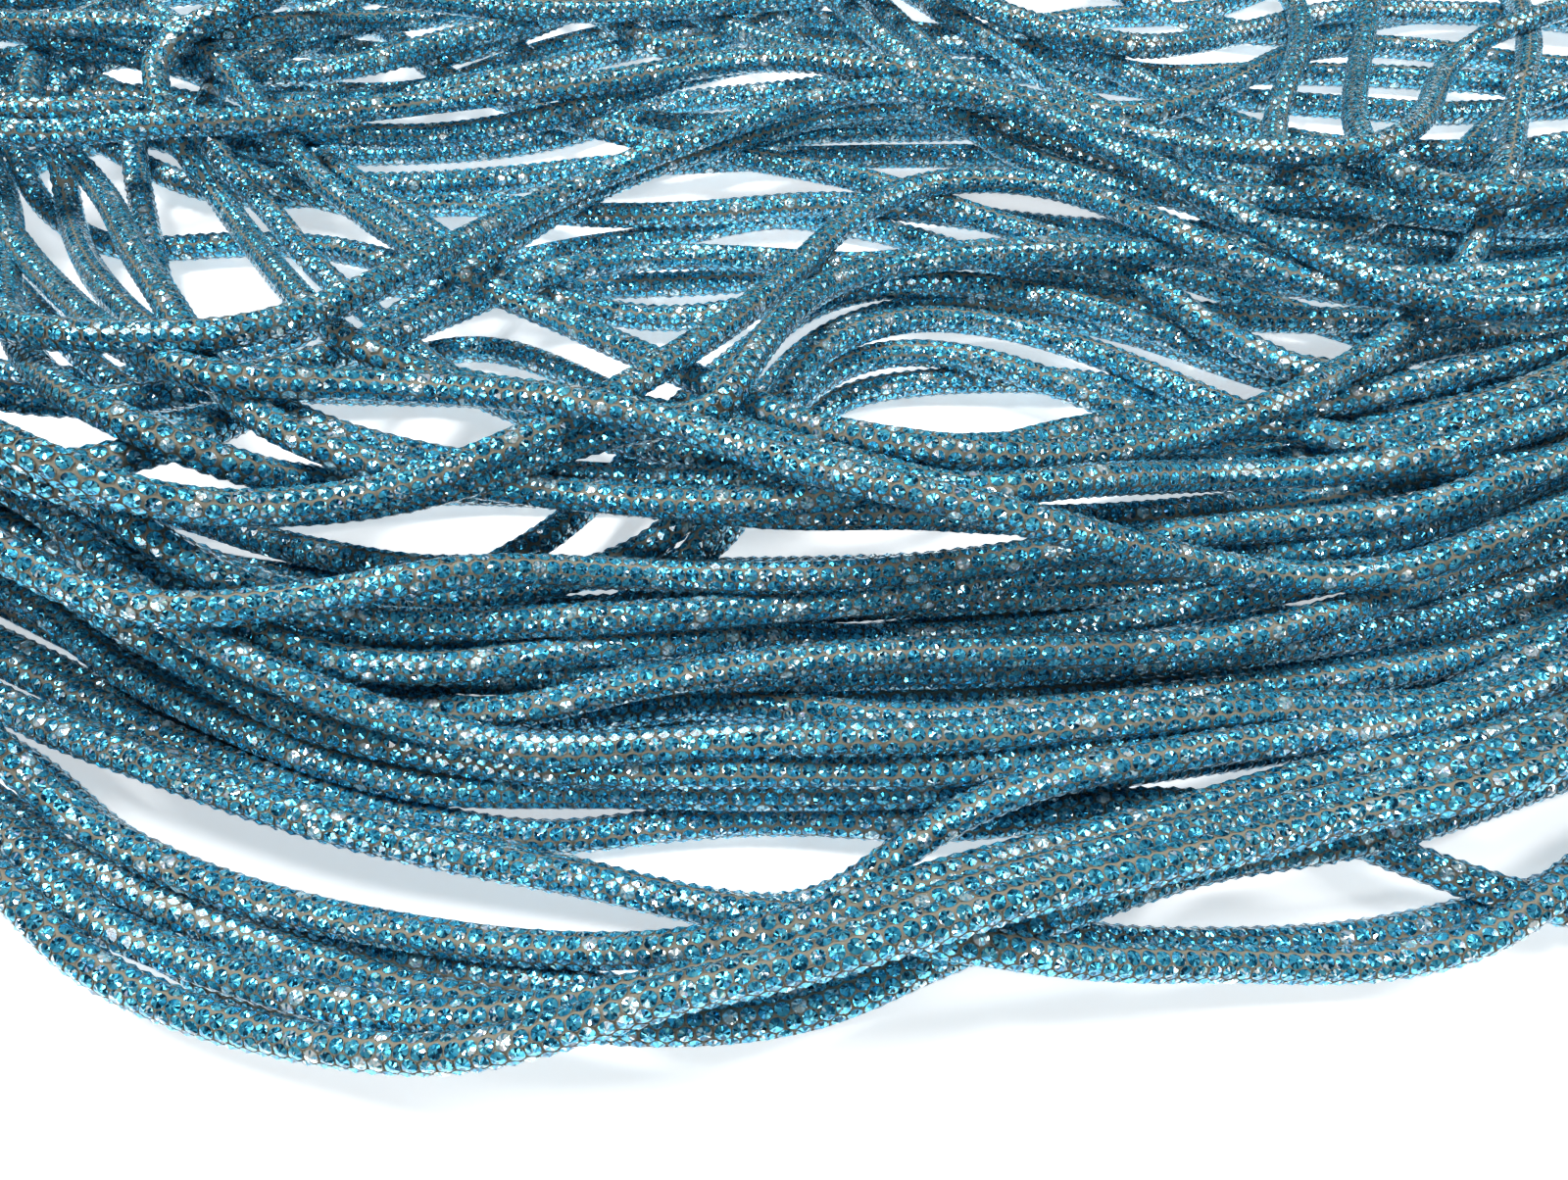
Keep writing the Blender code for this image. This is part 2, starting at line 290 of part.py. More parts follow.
          (7.5, 25.9), (5.5, 27.2), (3, 27.75), (0.5, 27.2), (-2, 25.9), (-4, 24.6), (-6, 22.9),
          (-8, 21), (-10, 19.3), (-12, 18.45), (-14, 18.4), (-17, 18.7), (-23.9, 18.6), (-29.6, 16.5)]),
]


def spaced_evenly(line, step):
    """Resample a line so that its points lie one step apart."""
    pieces = np.linalg.norm(np.diff(line, axis=0), axis=1)
    length = np.concatenate([[0.0], np.cumsum(pieces)])
    at = np.linspace(0.0, length[-1], round(length[-1] / step) + 1)
    return np.column_stack([np.interp(at, length, line[:, axis]) for axis in range(line.shape[1])])


def smooth_line(places):
    """Centripetal Catmull-Rom line through all places."""
    ends = np.vstack([2 * places[0] - places[1], places, 2 * places[-1] - places[-2]])
    u = np.linspace(0.0, 1.0, CURVE_PARTS, endpoint=False)[:, None]
    arcs = []
    for a, b, c, d in zip(ends[:-3], ends[1:-2], ends[2:-1], ends[3:]):
        before, here, after = (np.linalg.norm(q - p) ** 0.5 for p, q in ((a, b), (b, c), (c, d)))
        leave = here * ((b - a) / before - (c - a) / (before + here)) + (c - b)
        arrive = here * ((d - c) / after - (d - b) / (here + after)) + (c - b)
        arcs.append((2 * u**3 - 3 * u**2 + 1) * b + (u**3 - 2 * u**2 + u) * leave
                    + (3 * u**2 - 2 * u**3) * c + (u**3 - u**2) * arrive)
    return spaced_evenly(np.vstack(arcs + [places[-1:]]), STEP)


def softened(values, reach):
    """Bell-shaped moving average along the line."""
    bell = np.hanning(2 * reach + 3)[1:-1]
    if values.ndim == 1:
        return np.convolve(np.pad(values, reach, mode="edge"), bell / bell.sum(), mode="valid")
    return np.column_stack([softened(column, reach) for column in values.T])


def sagged(need):
    """Heights of a cord that bends over its high places and hangs down beside them."""
    heights = need.copy()
    for k in range(1, min(SAG_REACH, len(need) - 1) + 1):
        drop = (k * STEP)**2 / (2 * SAG_RADIUS)
        heights[k:] = np.maximum(heights[k:], need[:-k] - drop)
        heights[:-k] = np.maximum(heights[:-k], need[k:] - drop)
    return heights


def add_to_field(field, place, height):
    """Raise the height field where a later stretch would rest on this sample."""
    span = int(LAY_SPACING / CELL) + 1
    column, row = ((place - FIELD_CORNER) / CELL).round().astype(int)
    x = FIELD_CORNER[0] + CELL * np.arange(column - span, column + span + 1) - place[0]
    y = FIELD_CORNER[1] + CELL * np.arange(row - span, row + span + 1) - place[1]
    left = 1 - (x[:, None]**2 + y[None, :]**2) / LAY_SPACING**2
    dome = np.where(left > 0, height + LAY_RISE * np.sqrt(np.maximum(left, 0)), 0)
    patch = field[column - span:column + span + 1, row - span:row + span + 1]
    np.maximum(patch, dome, out=patch)


def field_height(field, places):
    """Height at which a sample rests, between the cells of the field."""
    at = (places - FIELD_CORNER) / CELL
    low = np.floor(at).astype(int)
    u, v = (at - low).T
    i, j = low.T
    near = field[i, j] * (1 - u) + field[i + 1, j] * u
    far = field[i, j + 1] * (1 - u) + field[i + 1, j + 1] * u
    return near * (1 - v) + far * v


def pull_to_viewpoint(seen):
    """Share of its distance by which a place shifts towards the viewpoint's foot for each metre it rises."""
    x, y = seen.T
    inside = np.clip((VIEW_HALF_WIDTH + VIEW_SPREAD * y + VIEW_MARGIN - np.abs(x)) / VIEW_MARGIN, 0, 1)
    before_end = np.clip((VIEW_FAR + VIEW_MARGIN - y) / VIEW_MARGIN, 0, 1)
    return softened(inside * before_end, 2 * LINE_EASE) / EYE_HEIGHT


def laid_line(turns):
    """Middle line of the whole cord, each stretch settled on what was laid before it."""
    places = np.array([place for turn in turns for place in turn.front + turn.back]) * CM
    seen = softened(smooth_line(places), LINE_EASE)
    pull = pull_to_viewpoint(seen)
    along = np.gradient(seen, axis=0)
    along /= np.linalg.norm(along, axis=1)[:, None]
    side = np.column_stack([-along[:, 1], along[:, 0]])
    count = len(seen)
    height = np.full(count, HALF_SIDE)
    need = np.full(count, HALF_SIDE)
    slide = np.zeros(count)
    field = np.full(FIELD_CELLS, HALF_SIDE)
    laid = 0
    for start in range(0, count, BLOCK):
        low, high = max(0, start - OVERLAP), min(count, start + BLOCK)
        before = max(0, low - SAG_REACH)
        freedom = np.clip(np.arange(high - low) / FREEING, 0, 1) if low else np.ones(high - low)
        if start:
            slide[start:high] = slide[start - 1] * np.exp(-np.arange(high - start) / FADING)
        now = slice(low, high)
        for _ in range(ROUNDS):
            line = seen[now] * (1 - height[now] * pull[now])[:, None] + slide[now, None] * side[now]
            need[now] = field_height(field, line)
            rise = (field_height(field, line + FEELER * side[now])
                    - field_height(field, line - FEELER * side[now]))
            push = softened(np.clip(rise / (2 * FEELER), -STEEPEST, STEEPEST), SLIDE_EASE)
            slide[now] = np.clip(slide[now] - SLIDE_STEP * freedom * push, -SLIDE_LIMIT, SLIDE_LIMIT)
            settled = softened(sagged(need[before:high]), HEIGHT_EASE)[low - before:]
            height[now] = (height[now] + settled) / 2
        stop = count if high == count else high - OVERLAP
        for k in range(laid, stop):
            place = seen[k] * (1 - height[k] * pull[k]) + slide[k] * side[k]
            add_to_field(field, place, height[k])
        laid = stop
    height = softened(height, HEIGHT_EASE)
    flat = seen * (1 - height * pull)[:, None] + softened(slide, SLIDE_EASE)[:, None] * side
    return np.column_stack([flat - HEAP_MIDDLE, height])


def tube_points(line):
    """Few points for the tube: longest pieces within the tolerance, moved out to straddle the arcs."""
    chosen = [0]
    while chosen[-1] < len(line) - 1:
        first = chosen[-1]
        last = min(len(line) - 1, first + LONGEST_PIECE)
        while last > first + 1:
            piece = line[last] - line[first]
            inner = line[first:last] - line[first]
            share = inner @ piece / (piece @ piece)
            if np.linalg.norm(inner - share[:, None] * piece, axis=1).max() < TUBE_TOLERANCE:
                break
            last -= 1
        chosen.append(last)
    points = line[chosen]
    outward = np.array([line[a:b + 1].mean(0) - (line[a] + line[b]) / 2 for a, b in zip(chosen, chosen[1:])])
    points[1:-1] += (outward[:-1] + outward[1:]) * STRADDLE / 2
    points[:, 2] = np.maximum(points[:, 2], HALF_SIDE)
    return points


def cord_material():
    """Plain blue of the stones over their grey-beige ground."""
    material = bpy.data.materials.new("cord_blue_stones")
    material.use_nodes = True
    shader = material.node_tree.nodes["Principled BSDF"]
    shader.inputs["Base Color"].default_value = GREY_BEIGE_BLUE
    shader.inputs["Roughness"].default_value = 0.3
    shader.inputs["Metallic"].default_value = 0.2
    material.diffuse_color = GREY_BEIGE_BLUE
    return material


def cord_tube(points, collection):
    """The whole cord as one closed six-sided tube with a flat side down."""
    curve = bpy.data.curves.new("cord", "CURVE")
    curve.dimensions = "3D"
    curve.twist_mode = "Z_UP"
    curve.bevel_depth = TUBE_RADIUS
    curve.bevel_resolution = 1
    curve.use_fill_caps = True
    spline = curve.splines.new("POLY")
    spline.points.add(len(points) - 1)
    for point, place in zip(spline.points, points):
        point.co = (*place, 1.0)
    cord = bpy.data.objects.new("cord", curve)
    cord.data.materials.append(cord_material())
    collection.objects.link(cord)
    return cord


def main():
    """Build the cord in an empty scene."""
    for thing in list(bpy.data.objects):
        bpy.data.objects.remove(thing, do_unlink=True)
    collection = bpy.data.collections.new("rhinestone_cord")
    bpy.context.scene.collection.children.link(collection)
    line = laid_line(TURNS)
    points = tube_points(line)
    cord_tube(points, collection)
    length = np.linalg.norm(np.diff(line, axis=0), axis=1).sum()
    print(f"cord {length:.2f} m, {len(points)} rings, box {line.min(0).round(4)} {line.max(0).round(4)}")


main()
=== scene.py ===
"""The looks of a rhinestone cord that lies in a loose heap of round turns.

The cord is one piece. Its middle line is laid turn by turn through the places in TURNS, as in the part's
source, and each stretch settles on the floor and on the turns below it. Along that line run the fine round
core with its woven ground, and the rows of small faceted stones. Metres, +Z up.
"""

import logging
from dataclasses import dataclass, field
from enum import Enum
from math import cos, pi, radians, sin
from typing import NamedTuple

import bpy
import numpy as np
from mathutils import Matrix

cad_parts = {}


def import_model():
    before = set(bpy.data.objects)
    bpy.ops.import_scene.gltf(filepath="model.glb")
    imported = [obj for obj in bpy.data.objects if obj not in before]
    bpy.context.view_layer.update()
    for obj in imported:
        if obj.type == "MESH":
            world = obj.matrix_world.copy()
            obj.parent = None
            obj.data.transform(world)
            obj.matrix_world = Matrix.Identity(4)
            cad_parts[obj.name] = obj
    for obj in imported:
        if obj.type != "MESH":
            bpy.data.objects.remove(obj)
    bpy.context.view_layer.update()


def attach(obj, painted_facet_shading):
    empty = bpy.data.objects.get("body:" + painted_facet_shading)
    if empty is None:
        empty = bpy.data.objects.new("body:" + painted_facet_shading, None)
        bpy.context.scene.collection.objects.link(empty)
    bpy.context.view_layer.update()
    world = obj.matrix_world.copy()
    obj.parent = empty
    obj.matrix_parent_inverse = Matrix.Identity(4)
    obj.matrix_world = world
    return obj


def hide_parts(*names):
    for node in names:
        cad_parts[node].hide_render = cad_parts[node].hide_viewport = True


log = logging.getLogger("rhinestone_cord")

CM = 0.01
MM = 0.001
TAU = 2 * pi
CORD_DIAMETER = 6.0 * MM

Colour = tuple[float, float, float]


class Turn(NamedTuple):
    """One turn of the heap: the places that it passes on the near and on the far side, in centimetres."""

    name: str
    front: list[tuple[float, float]]
    back: list[tuple[float, float]]


# Bottom turn first. A place is where the cord is seen on the floor from the photograph's viewpoint, which
# stands over the zero place.
TURNS: list[Turn] = [
    Turn("under_edge",
         [(-15.1, 8.5), (-13.2, 7.8), (-11.9, 6.9), (-10.5, 5.8), (-8.9, 4.9), (-6.9, 4.4),
          (-4.5, 4.4), (-1.5, 4.8), (1.6, 5.6), (3.1, 6), (4.6, 5.5), (6.9, 5.4), (9, 5.5),
          (10.6, 5.8), (12.7, 6.4), (14.9, 7.1)],
         [(24, 11), (33, 18), (34, 27), (27, 34), (20, 36.4), (14.8, 32.9), (11.3, 31), (8.1, 30.7),
          (4.8, 29.9), (1.6, 30.5), (-0.8, 30.6), (-3.2, 30.3), (-5.3, 29.7), (-7.3, 28.7),
          (-9.2, 27.5), (-11.9, 27.4), (-15.5, 28.5), (-19.6, 29.8), (-23.5, 30.3), (-29, 30),
          (-33, 23), (-29, 16), (-22, 12)]),
    Turn("under_front",
         [(-16.9, 11.9), (-14.3, 10.9), (-13, 10.3), (-11.6, 9.6), (-10.1, 9), (-8.1, 8.5),
          (-5.7, 8.1), (-3, 8.1), (0, 8.3), (3.4, 8.7), (6.9, 9.2), (10.4, 9.8), (14.3, 10.8),
          (17.2, 11.7)],
         [(25, 17), (30, 22), (27, 27), (23.3, 27.2), (20.1, 26.7), (18.2, 26.6), (16.5, 26.5),
          (15, 26.7), (13.3, 26.9), (11.6, 27.1), (9.7, 27.5), (7.4, 28), (5.7, 28.3), (3.9, 28.3),
          (2, 27.9), (0, 27.4), (-2, 27.1), (-3.7, 26.6), (-5.2, 25.7), (-7.3, 25.1), (-9.7, 24.9),
          (-11.6, 24.9), (-13.9, 25.2), (-16.2, 25.6), (-18.2, 24.8), (-20.2, 22.7), (-28, 25),
          (-31, 20), (-26, 15.5)]),
    Turn("under_middle",
         [(-17.5, 13), (-14.6, 11.6), (-13, 10.8), (-11.4, 10), (-9.6, 9.2), (-7.6, 8.8), (-4.8, 8.8),
          (-1.7, 9.3), (1.2, 9.8), (4.4, 9.9), (7.9, 10.2), (10.7, 10.6), (13, 11.1), (15.4, 11.8),
          (18, 12.7)],
         [(25.5, 18), (28, 21), (26, 25), (21.3, 23.7), (19.3, 24.5), (16.9, 24.7), (14.5, 24.9),
          (12.5, 25.4), (10.6, 25.9), (8.7, 26.3), (6.7, 26.2), (4.9, 25.9), (3.2, 25.8), (1.2, 25.8),
          (-1, 25.4), (-2.7, 24.8), (-4.8, 24.2), (-7.1, 23.7), (-9.5, 23.6), (-11.5, 23.3),
          (-13.4, 23.4), (-15.3, 24.3), (-17.2, 25.6), (-19.3, 26.8), (-22.4, 27.6), (-27, 28),
          (-31, 23.5), (-27, 17.5)]),
    Turn("under_right",
         [(-18.1, 14.5), (-14.9, 12.6), (-11.8, 11.3), (-8.6, 10.8), (-5.3, 10.6), (-2, 10.7),
          (0.9, 10.9), (3.6, 11.3), (5.8, 11.5), (8.2, 11.4), (9.9, 11.2), (11.4, 11.4), (13.2, 11.9),
          (15.4, 12.7), (18, 13.7)],
         [(25, 19), (26, 21.5), (19.8, 20), (16.7, 19.9), (14, 19.8), (12.1, 20.1), (10.2, 20.5),
          (8.4, 20.4), (6.7, 20.5), (4.7, 21), (3, 21.8), (1.4, 22.3), (-0.2, 22.6), (-1.6, 22.2),
          (-3, 21.8), (-4.5, 21.5), (-5.9, 21.1), (-7.3, 20.5), (-8.9, 20.3), (-9.9, 19.8),
          (-10.5, 18.7), (-11.9, 18.1), (-13.1, 17.5), (-14.6, 17.3), (-16.1, 17.5), (-18.5, 17.8),
          (-24, 20), (-25, 17.5), (-22, 15.5)]),
    Turn("under_arch",
         [(-18.5, 15.2), (-15.3, 13.5), (-12, 12.2), (-8.2, 11.5), (-3.6, 11.6), (0.9, 11.9),
          (5.6, 12.3), (10.4, 13), (15.6, 14.3), (18.3, 15.2)],
         [(22.5, 18.2), (18.3, 16.4), (15.6, 16.8), (13.2, 17), (10.8, 17.2), (9.3, 17.9),
          (7.5, 18.8), (5.4, 19.4), (3.3, 19.6), (1.6, 19.1), (0.5, 18.3), (-0.3, 17.2), (-0.9, 16.2),
          (-1.5, 15.2), (-2.1, 14.5), (-3.1, 14.3), (-4.7, 14.3), (-6.4, 14.4), (-8, 14.3),
          (-9.6, 13.9), (-11, 13.7), (-12.5, 13.9), (-14.3, 14.6), (-17.2, 15.6), (-20, 18),
          (-21.5, 16.5), (-19.5, 15.2)]),
    Turn("under_gap",
         [(-17.9, 15.2), (-15, 14), (-12.6, 12.9), (-10, 12.2), (-7, 12), (-2.8, 12.2), (1.9, 12.3),
          (5.6, 12.6), (9.4, 12.9), (13, 13.5), (16.4, 14.5)],
         [(20.5, 15.3), (16.7, 15.2), (14.1, 15.8), (11.3, 16.1), (9.4, 16.4), (7.8, 16.9),
          (6.2, 17.3), (4.6, 17.4), (3, 17.3), (1.9, 17.1), (1, 16.7), (0.3, 15.7), (-0.4, 14.5),
          (-1.1, 13.1), (-2, 12.4), (-3.5, 12.3), (-5.2, 12.4), (-6.9, 12.3), (-8.6, 12.6),
          (-10.2, 13), (-11.9, 13.7), (-13.8, 14.2), (-17, 14.9), (-20.5, 17.6), (-24, 14.5),
          (-23, 11.5)]),
    Turn("edge_low",
         [(-19.5, 10.3), (-13.5, 8.6), (-11, 6.9), (-8, 5.7), (-5, 4.95), (-1.5, 4.7), (1, 5.15),
          (3, 5.8), (6, 7), (9, 8), (12, 8.75), (15, 9.8), (23.4, 13.5), (30.4, 20), (27.7, 27)],
         [(21, 30.6), (17, 30.9), (15, 30.2), (13, 30), (11, 30.8), (8, 33), (2, 35), (-6, 35),
          (-13, 34), (-21, 31.5), (-30.1, 26), (-31.3, 19.5), (-23.8, 15.5)]),
    Turn("dark_far",
         [(-15, 14.2), (-12.5, 13.1), (-10, 12.4), (-7, 11.9), (-4, 11.75), (0, 11.75), (4, 12),
          (8, 12.45), (12, 13.5), (15, 14.7), (21.2, 17), (28, 21), (25.9, 24.5)],
         [(19.5, 25.3), (15, 24.3), (11, 24.2), (8, 24.6), (4, 24.9), (0, 24.9), (-4, 24.6),
          (-7, 24.1), (-10, 23.9), (-12, 24.2), (-14.5, 25.2), (-18, 26.3), (-25.1, 24.5),
          (-26.9, 19), (-20.9, 14.5)]),
    Turn("dark_near",
         [(-14, 12), (-11, 10.8), (-8, 9.9), (-5, 9.2), (-3, 9.3), (-1.5, 9.65), (0, 9.65), (2, 9.45),
          (5, 9.45), (8, 9.7), (12, 10.3), (15, 11.5), (21.7, 14.5), (26.1, 19), (24.8, 22)],
         [(19, 22.9), (15, 22.7), (12, 22.2), (9, 22), (6, 22.1), (3, 22.6), (1, 22.8), (-2, 22.5),
          (-4.5, 22.6), (-7.5, 23.2), (-10, 23.1), (-13, 24.4), (-16, 26.6), (-20, 28.6),
          (-29.1, 27.5), (-34, 21), (-29.1, 15), (-20.5, 12.6)]),
    Turn("near_under",
         [(-16.2, 11.8), (-14.3, 10.8), (-12, 9.8), (-10, 8.9), (-7, 7.95), (-4, 7.35), (-2, 7.55),
          (0, 7.6), (3, 7.3), (6, 7.6), (8.5, 7.45), (10, 6.95), (11.5, 6.4), (13.5, 5.92), (20.3, 7),
          (29.8, 11), (34.7, 17), (30.7, 22.5)],
         [(21.4, 24.4), (16, 23.7), (13, 23.6), (10, 24.4), (6, 25.6), (2, 26.3), (-2, 25.8),
          (-3.7, 26), (-5, 26.9), (-6.2, 28.2), (-7.5, 29.8), (-9.5, 31.8), (-14, 33.3), (-21, 32.7),
          (-31.9, 28.5), (-34.8, 21), (-26, 15.5)]),
    Turn("deep_right",
         [(-14.5, 12.6), (-11.5, 11.4), (-8, 10.2), (-4, 9.9), (0, 10), (4, 10.1), (8, 10.45),
          (12, 11.15), (15, 12.3), (20.2, 14.6), (22, 16.8)],
         [(18.8, 17.9), (16, 17.7), (14.5, 17.9), (12.5, 18.8), (10.5, 19.9), (8.5, 21), (5, 22.4),
          (2, 23.7), (-2, 24.9), (-6, 26.4), (-9, 28.2), (-11, 30.3), (-14.5, 32), (-20.5, 31),
          (-27.1, 26), (-26.9, 19), (-20.9, 14.8)]),
    Turn("deep_back",
         [(-19.5, 25.8), (-17.5, 23), (-15.3, 21.5), (-13, 21.6), (-10.5, 21.5), (-8, 20.8),
          (-5, 20.4), (-2, 20.4), (1, 20.6), (4, 20.2), (7, 19.8), (9.5, 19.4), (11.5, 19.3),
          (14, 19.3), (17, 19), (22.1, 20.5), (24.5, 24)],
         [(20.5, 27), (16.5, 27.8), (12.5, 28), (9.5, 27.9), (7.5, 28.8), (5, 29.5), (2, 29.6),
          (-1, 30.3), (-4.5, 29.3), (-7, 28.2), (-10, 27.4), (-13, 27.1), (-16.5, 28.9),
          (-20.5, 28.8), (-22.8, 25)]),
    Turn("deep_mid",
         [(-19.3, 21.8), (-16.5, 19.2), (-14.5, 17.5), (-12.5, 16.5), (-10.5, 17), (-8.5, 17.8),
          (-6.5, 18.3), (-4, 17.2), (-2, 15.9), (0, 15.5), (2.5, 15.6), (5, 15.5), (8, 15.6),
          (11, 16.2), (14, 16.9), (17, 17.3), (23.9, 19), (28.3, 23.5)],
         [(23.1, 27.5), (18.8, 26.6), (16.8, 24.9), (14.5, 23.2), (12, 22.7), (9.5, 23.3), (7, 25.2),
          (5, 27.4), (3.5, 30), (1.5, 32.5), (-3, 33), (-6.5, 30.5), (-9, 28.9), (-12.5, 29.2),
          (-16, 29.4), (-20, 28), (-24.5, 24), (-22.1, 20.5)]),
    Turn("mid_second",
         [(-20.5, 17), (-14, 13.2), (-11.5, 11.9), (-9.5, 10.9), (-7.5, 10), (-5, 9.65), (-3, 10.1),
          (0, 10.4), (4, 10.5), (8, 10.7), (12, 11.9), (15, 13), (20.1, 14.8), (21.3, 16.8)],
         [(21.1, 17.8), (15, 17.2), (12, 17.6), (9.5, 18.2), (8, 19.1), (6, 20), (4, 20.4), (2, 20.3),
          (0.5, 19.7), (-0.8, 18.3), (-1.8, 17), (-2.6, 15.7), (-3.5, 14.3), (-4.8, 13), (-7, 11.9),
          (-10, 11.6), (-13.5, 12.8), (-18, 14.2), (-24.2, 12.8)]),
    Turn("first_row",
         [(-14.4, 12.2), (-12, 10.6), (-10, 9.5), (-8, 8.55), (-6, 8), (-3, 7.9), (0, 7.75), (3, 7.8),
          (6, 8.2), (9, 8.7), (12, 9.3), (14.8, 10.3), (19.1, 12), (20.9, 14.5)],
         [(19.9, 16.2), (15.5, 16.3), (12.5, 15.5), (10, 15.4), (8.3, 16), (6.5, 16.9), (4.5, 17.7),
          (3, 18), (1.5, 17.7), (0.3, 16.6), (-0.6, 15.2), (-1.2, 14), (-2, 12.6), (-4, 11.3),
          (-8, 10.9), (-12, 12.4), (-16, 14), (-22.9, 14.6), (-24.4, 12)]),
    Turn("second_row",
         [(-16, 14.5), (-14.2, 13), (-12.5, 11.75), (-10.5, 10.6), (-8.5, 9.5), (-6.5, 8.85),
          (-4.5, 8.35), (-3, 8.2), (0, 8.15), (3, 8.2), (6, 8.6), (9, 9), (12, 9.9), (15, 11.5),
          (19.6, 13.6), (22.2, 16)],
         [(20.4, 17.5), (16, 17), (13, 16.4), (10.5, 16.2), (8.6, 17.2), (7, 18.2), (5, 19),
          (3, 19.15), (1.5, 18.6), (0.6, 17.7), (0, 16.5), (-0.8, 15.2), (-1.5, 14), (-2.5, 12.8),
          (-5, 11.9), (-9, 11.7), (-13, 13.2), (-17.9, 14.5), (-22.7, 13)]),
    Turn("mid_third",
         [(-14.5, 13.5), (-11.5, 12.3), (-8.5, 10.8), (-6, 10.4), (-3.5, 10.7), (0, 11), (4, 11.2),
          (8, 11.9), (12, 12.6), (15, 13.8), (20.7, 15.6), (22.6, 17.6)],
         [(17.5, 18.4), (14.5, 18.4), (12.8, 17.9), (11.5, 17.4), (10.2, 18.3), (9.2, 19.1),
          (8.4, 20.2), (7, 20.9), (4, 21), (1.5, 20.3), (-1, 19.3), (-3, 19.2), (-5, 19.9),
          (-7.5, 21.5), (-10, 23.4), (-13, 25.5), (-16, 27), (-21.8, 26.6), (-27.2, 21.5), (-22.9, 16)]),
    Turn("third_row",
         [(-14.8, 14), (-12.5, 12.4), (-10.5, 11.2), (-8.5, 10.2), (-6.5, 9.5), (-4.5, 8.85),
          (-3, 8.75), (0, 8.75), (3, 8.8), (6, 9.1), (9, 9.4), (12, 9.7), (15, 10.9), (23.4, 13.5),
          (28.6, 18)],
         [(23.4, 21.4), (17.5, 21.8), (14, 22), (11, 22.9), (8, 24.3), (5.5, 26.3), (4.2, 28),
          (3.2, 29.2), (2.3, 30.6), (1.3, 32), (-3, 34.3), (-10, 33.2), (-13, 30.9), (-15, 30.1),
          (-18, 30.5), (-25.1, 29), (-30.7, 22.5), (-23.5, 17)]),
    Turn("fourth_row",
         [(-14.5, 14.3), (-11, 12.2), (-9, 11.4), (-7, 11.05), (-5, 11.1), (-3, 11.2), (0, 11.45),
          (3, 11.8), (5, 12.25), (8, 12.5), (12, 13.1), (15, 14.4), (20.6, 16.5), (25.3, 19.5)],
         [(21.8, 22), (16.5, 22.4), (13.5, 22.9), (11, 24), (9, 25.7), (7.5, 27.4), (6, 29.4),
          (4.5, 31), (2, 33), (-4, 34.8), (-12, 32.9), (-15.5, 30.6), (-18, 29), (-19, 26.5)]),
    Turn("left_steep",
         [(-16.6, 27), (-15.8, 24.8), (-15, 22.8), (-14.3, 21.1), (-13.7, 19.7), (-13, 18.6),
          (-12, 17.8), (-10.5, 17.3), (-8.5, 17.2), (-6, 17.1), (-3, 16.6), (0, 15.9), (3, 15.7),
          (6, 15.9), (9, 16.5), (12, 16.9), (15, 17.6), (21.5, 19.6), (23.3, 22)],
         [(18.5, 24.9), (15, 25.1), (12.5, 25.6), (10.5, 26.9), (8.8, 28.4), (7, 29.9), (5, 31.5),
          (2, 33.5), (-5, 33.2), (-9, 31.5), (-12.5, 29.8), (-14.8, 28)]),
    Turn("left_slope",
         [(-14.4, 25.6), (-13, 23.9), (-11.7, 22.5), (-10.9, 21.4), (-9.9, 20.3), (-8.8, 19.3),
          (-7.8, 18.3), (-6.8, 17.4), (-5, 16.5), (-3, 15.8), (0, 15.2), (3, 14.8), (6, 14.7),
          (9, 15.3), (12, 16), (15, 17), (20.1, 19.3), (22.4, 21.6)],
         [(18.5, 23.6), (15, 23.4), (13, 22.2), (11, 22.5), (9, 24), (7, 25.5), (5, 26.6), (3, 27.05),
          (0.5, 26.5), (-1.5, 25.5), (-3.5, 24.4), (-5.3, 22.9), (-6.6, 21.4), (-7.5, 20.3),
          (-8.5, 19.2), (-9.5, 17.9), (-10.5, 16.8), (-12, 15.6), (-15, 14.8), (-20.3, 14),
          (-24.5, 11.3)]),
    Turn("short_cross",
         [(-17.9, 10.4), (-13.6, 9.7), (-11, 8.9), (-9, 8.2), (-7, 7.6), (-5, 7.15), (-3, 6.65),
          (-1, 6.2), (0.4, 6.15), (1.3, 6.7), (2.1, 7.35), (4, 8.3), (7, 8.95), (12, 9.7), (15, 11),
          (20.4, 13.2), (24.2, 17)],
         [(22.2, 20), (17, 20.9), (14, 21.1), (11, 21.6), (8, 21.6), (4, 21.4), (2, 20.9), (0, 20.9),
          (-3, 21), (-5, 20.7), (-7, 19.8), (-9, 18.6), (-11, 17.5), (-13.5, 16.6), (-17, 16.4),
          (-26, 15.5), (-27.3, 12.3)]),
    Turn("front_under",
         [(-19.6, 9.5), (-13, 7.5), (-9, 5.75), (-6, 4.95), (-3.5, 4.5), (-1.5, 4.38), (0.5, 4.62),
          (2.2, 5.35), (4, 6), (7, 6.95), (9, 7.25), (11, 7.75), (13, 8.4), (16.6, 9.4), (25.1, 12.5),
          (32.3, 18), (33.3, 25)],
         [(27, 31), (18, 34.3), (11, 35), (4, 33.5), (-1, 30.3), (-2.8, 29.3), (-4.2, 30.2), (-8, 33),
          (-15, 34.5), (-22, 31)]),
    Turn("left_lower",
         [(-21.6, 27.5), (-19.5, 25), (-18, 22.5), (-17.4, 20.5), (-16.7, 19), (-15.6, 17.6),
          (-14, 16.5), (-12, 15.4), (-10, 14.6), (-7, 14.3), (-4, 14.15), (0, 14), (2.5, 14),
          (4.5, 13.7), (7, 13.6), (10, 14), (13, 14.8), (16.5, 16.4), (23.2, 18.5), (26.4, 21.5)],
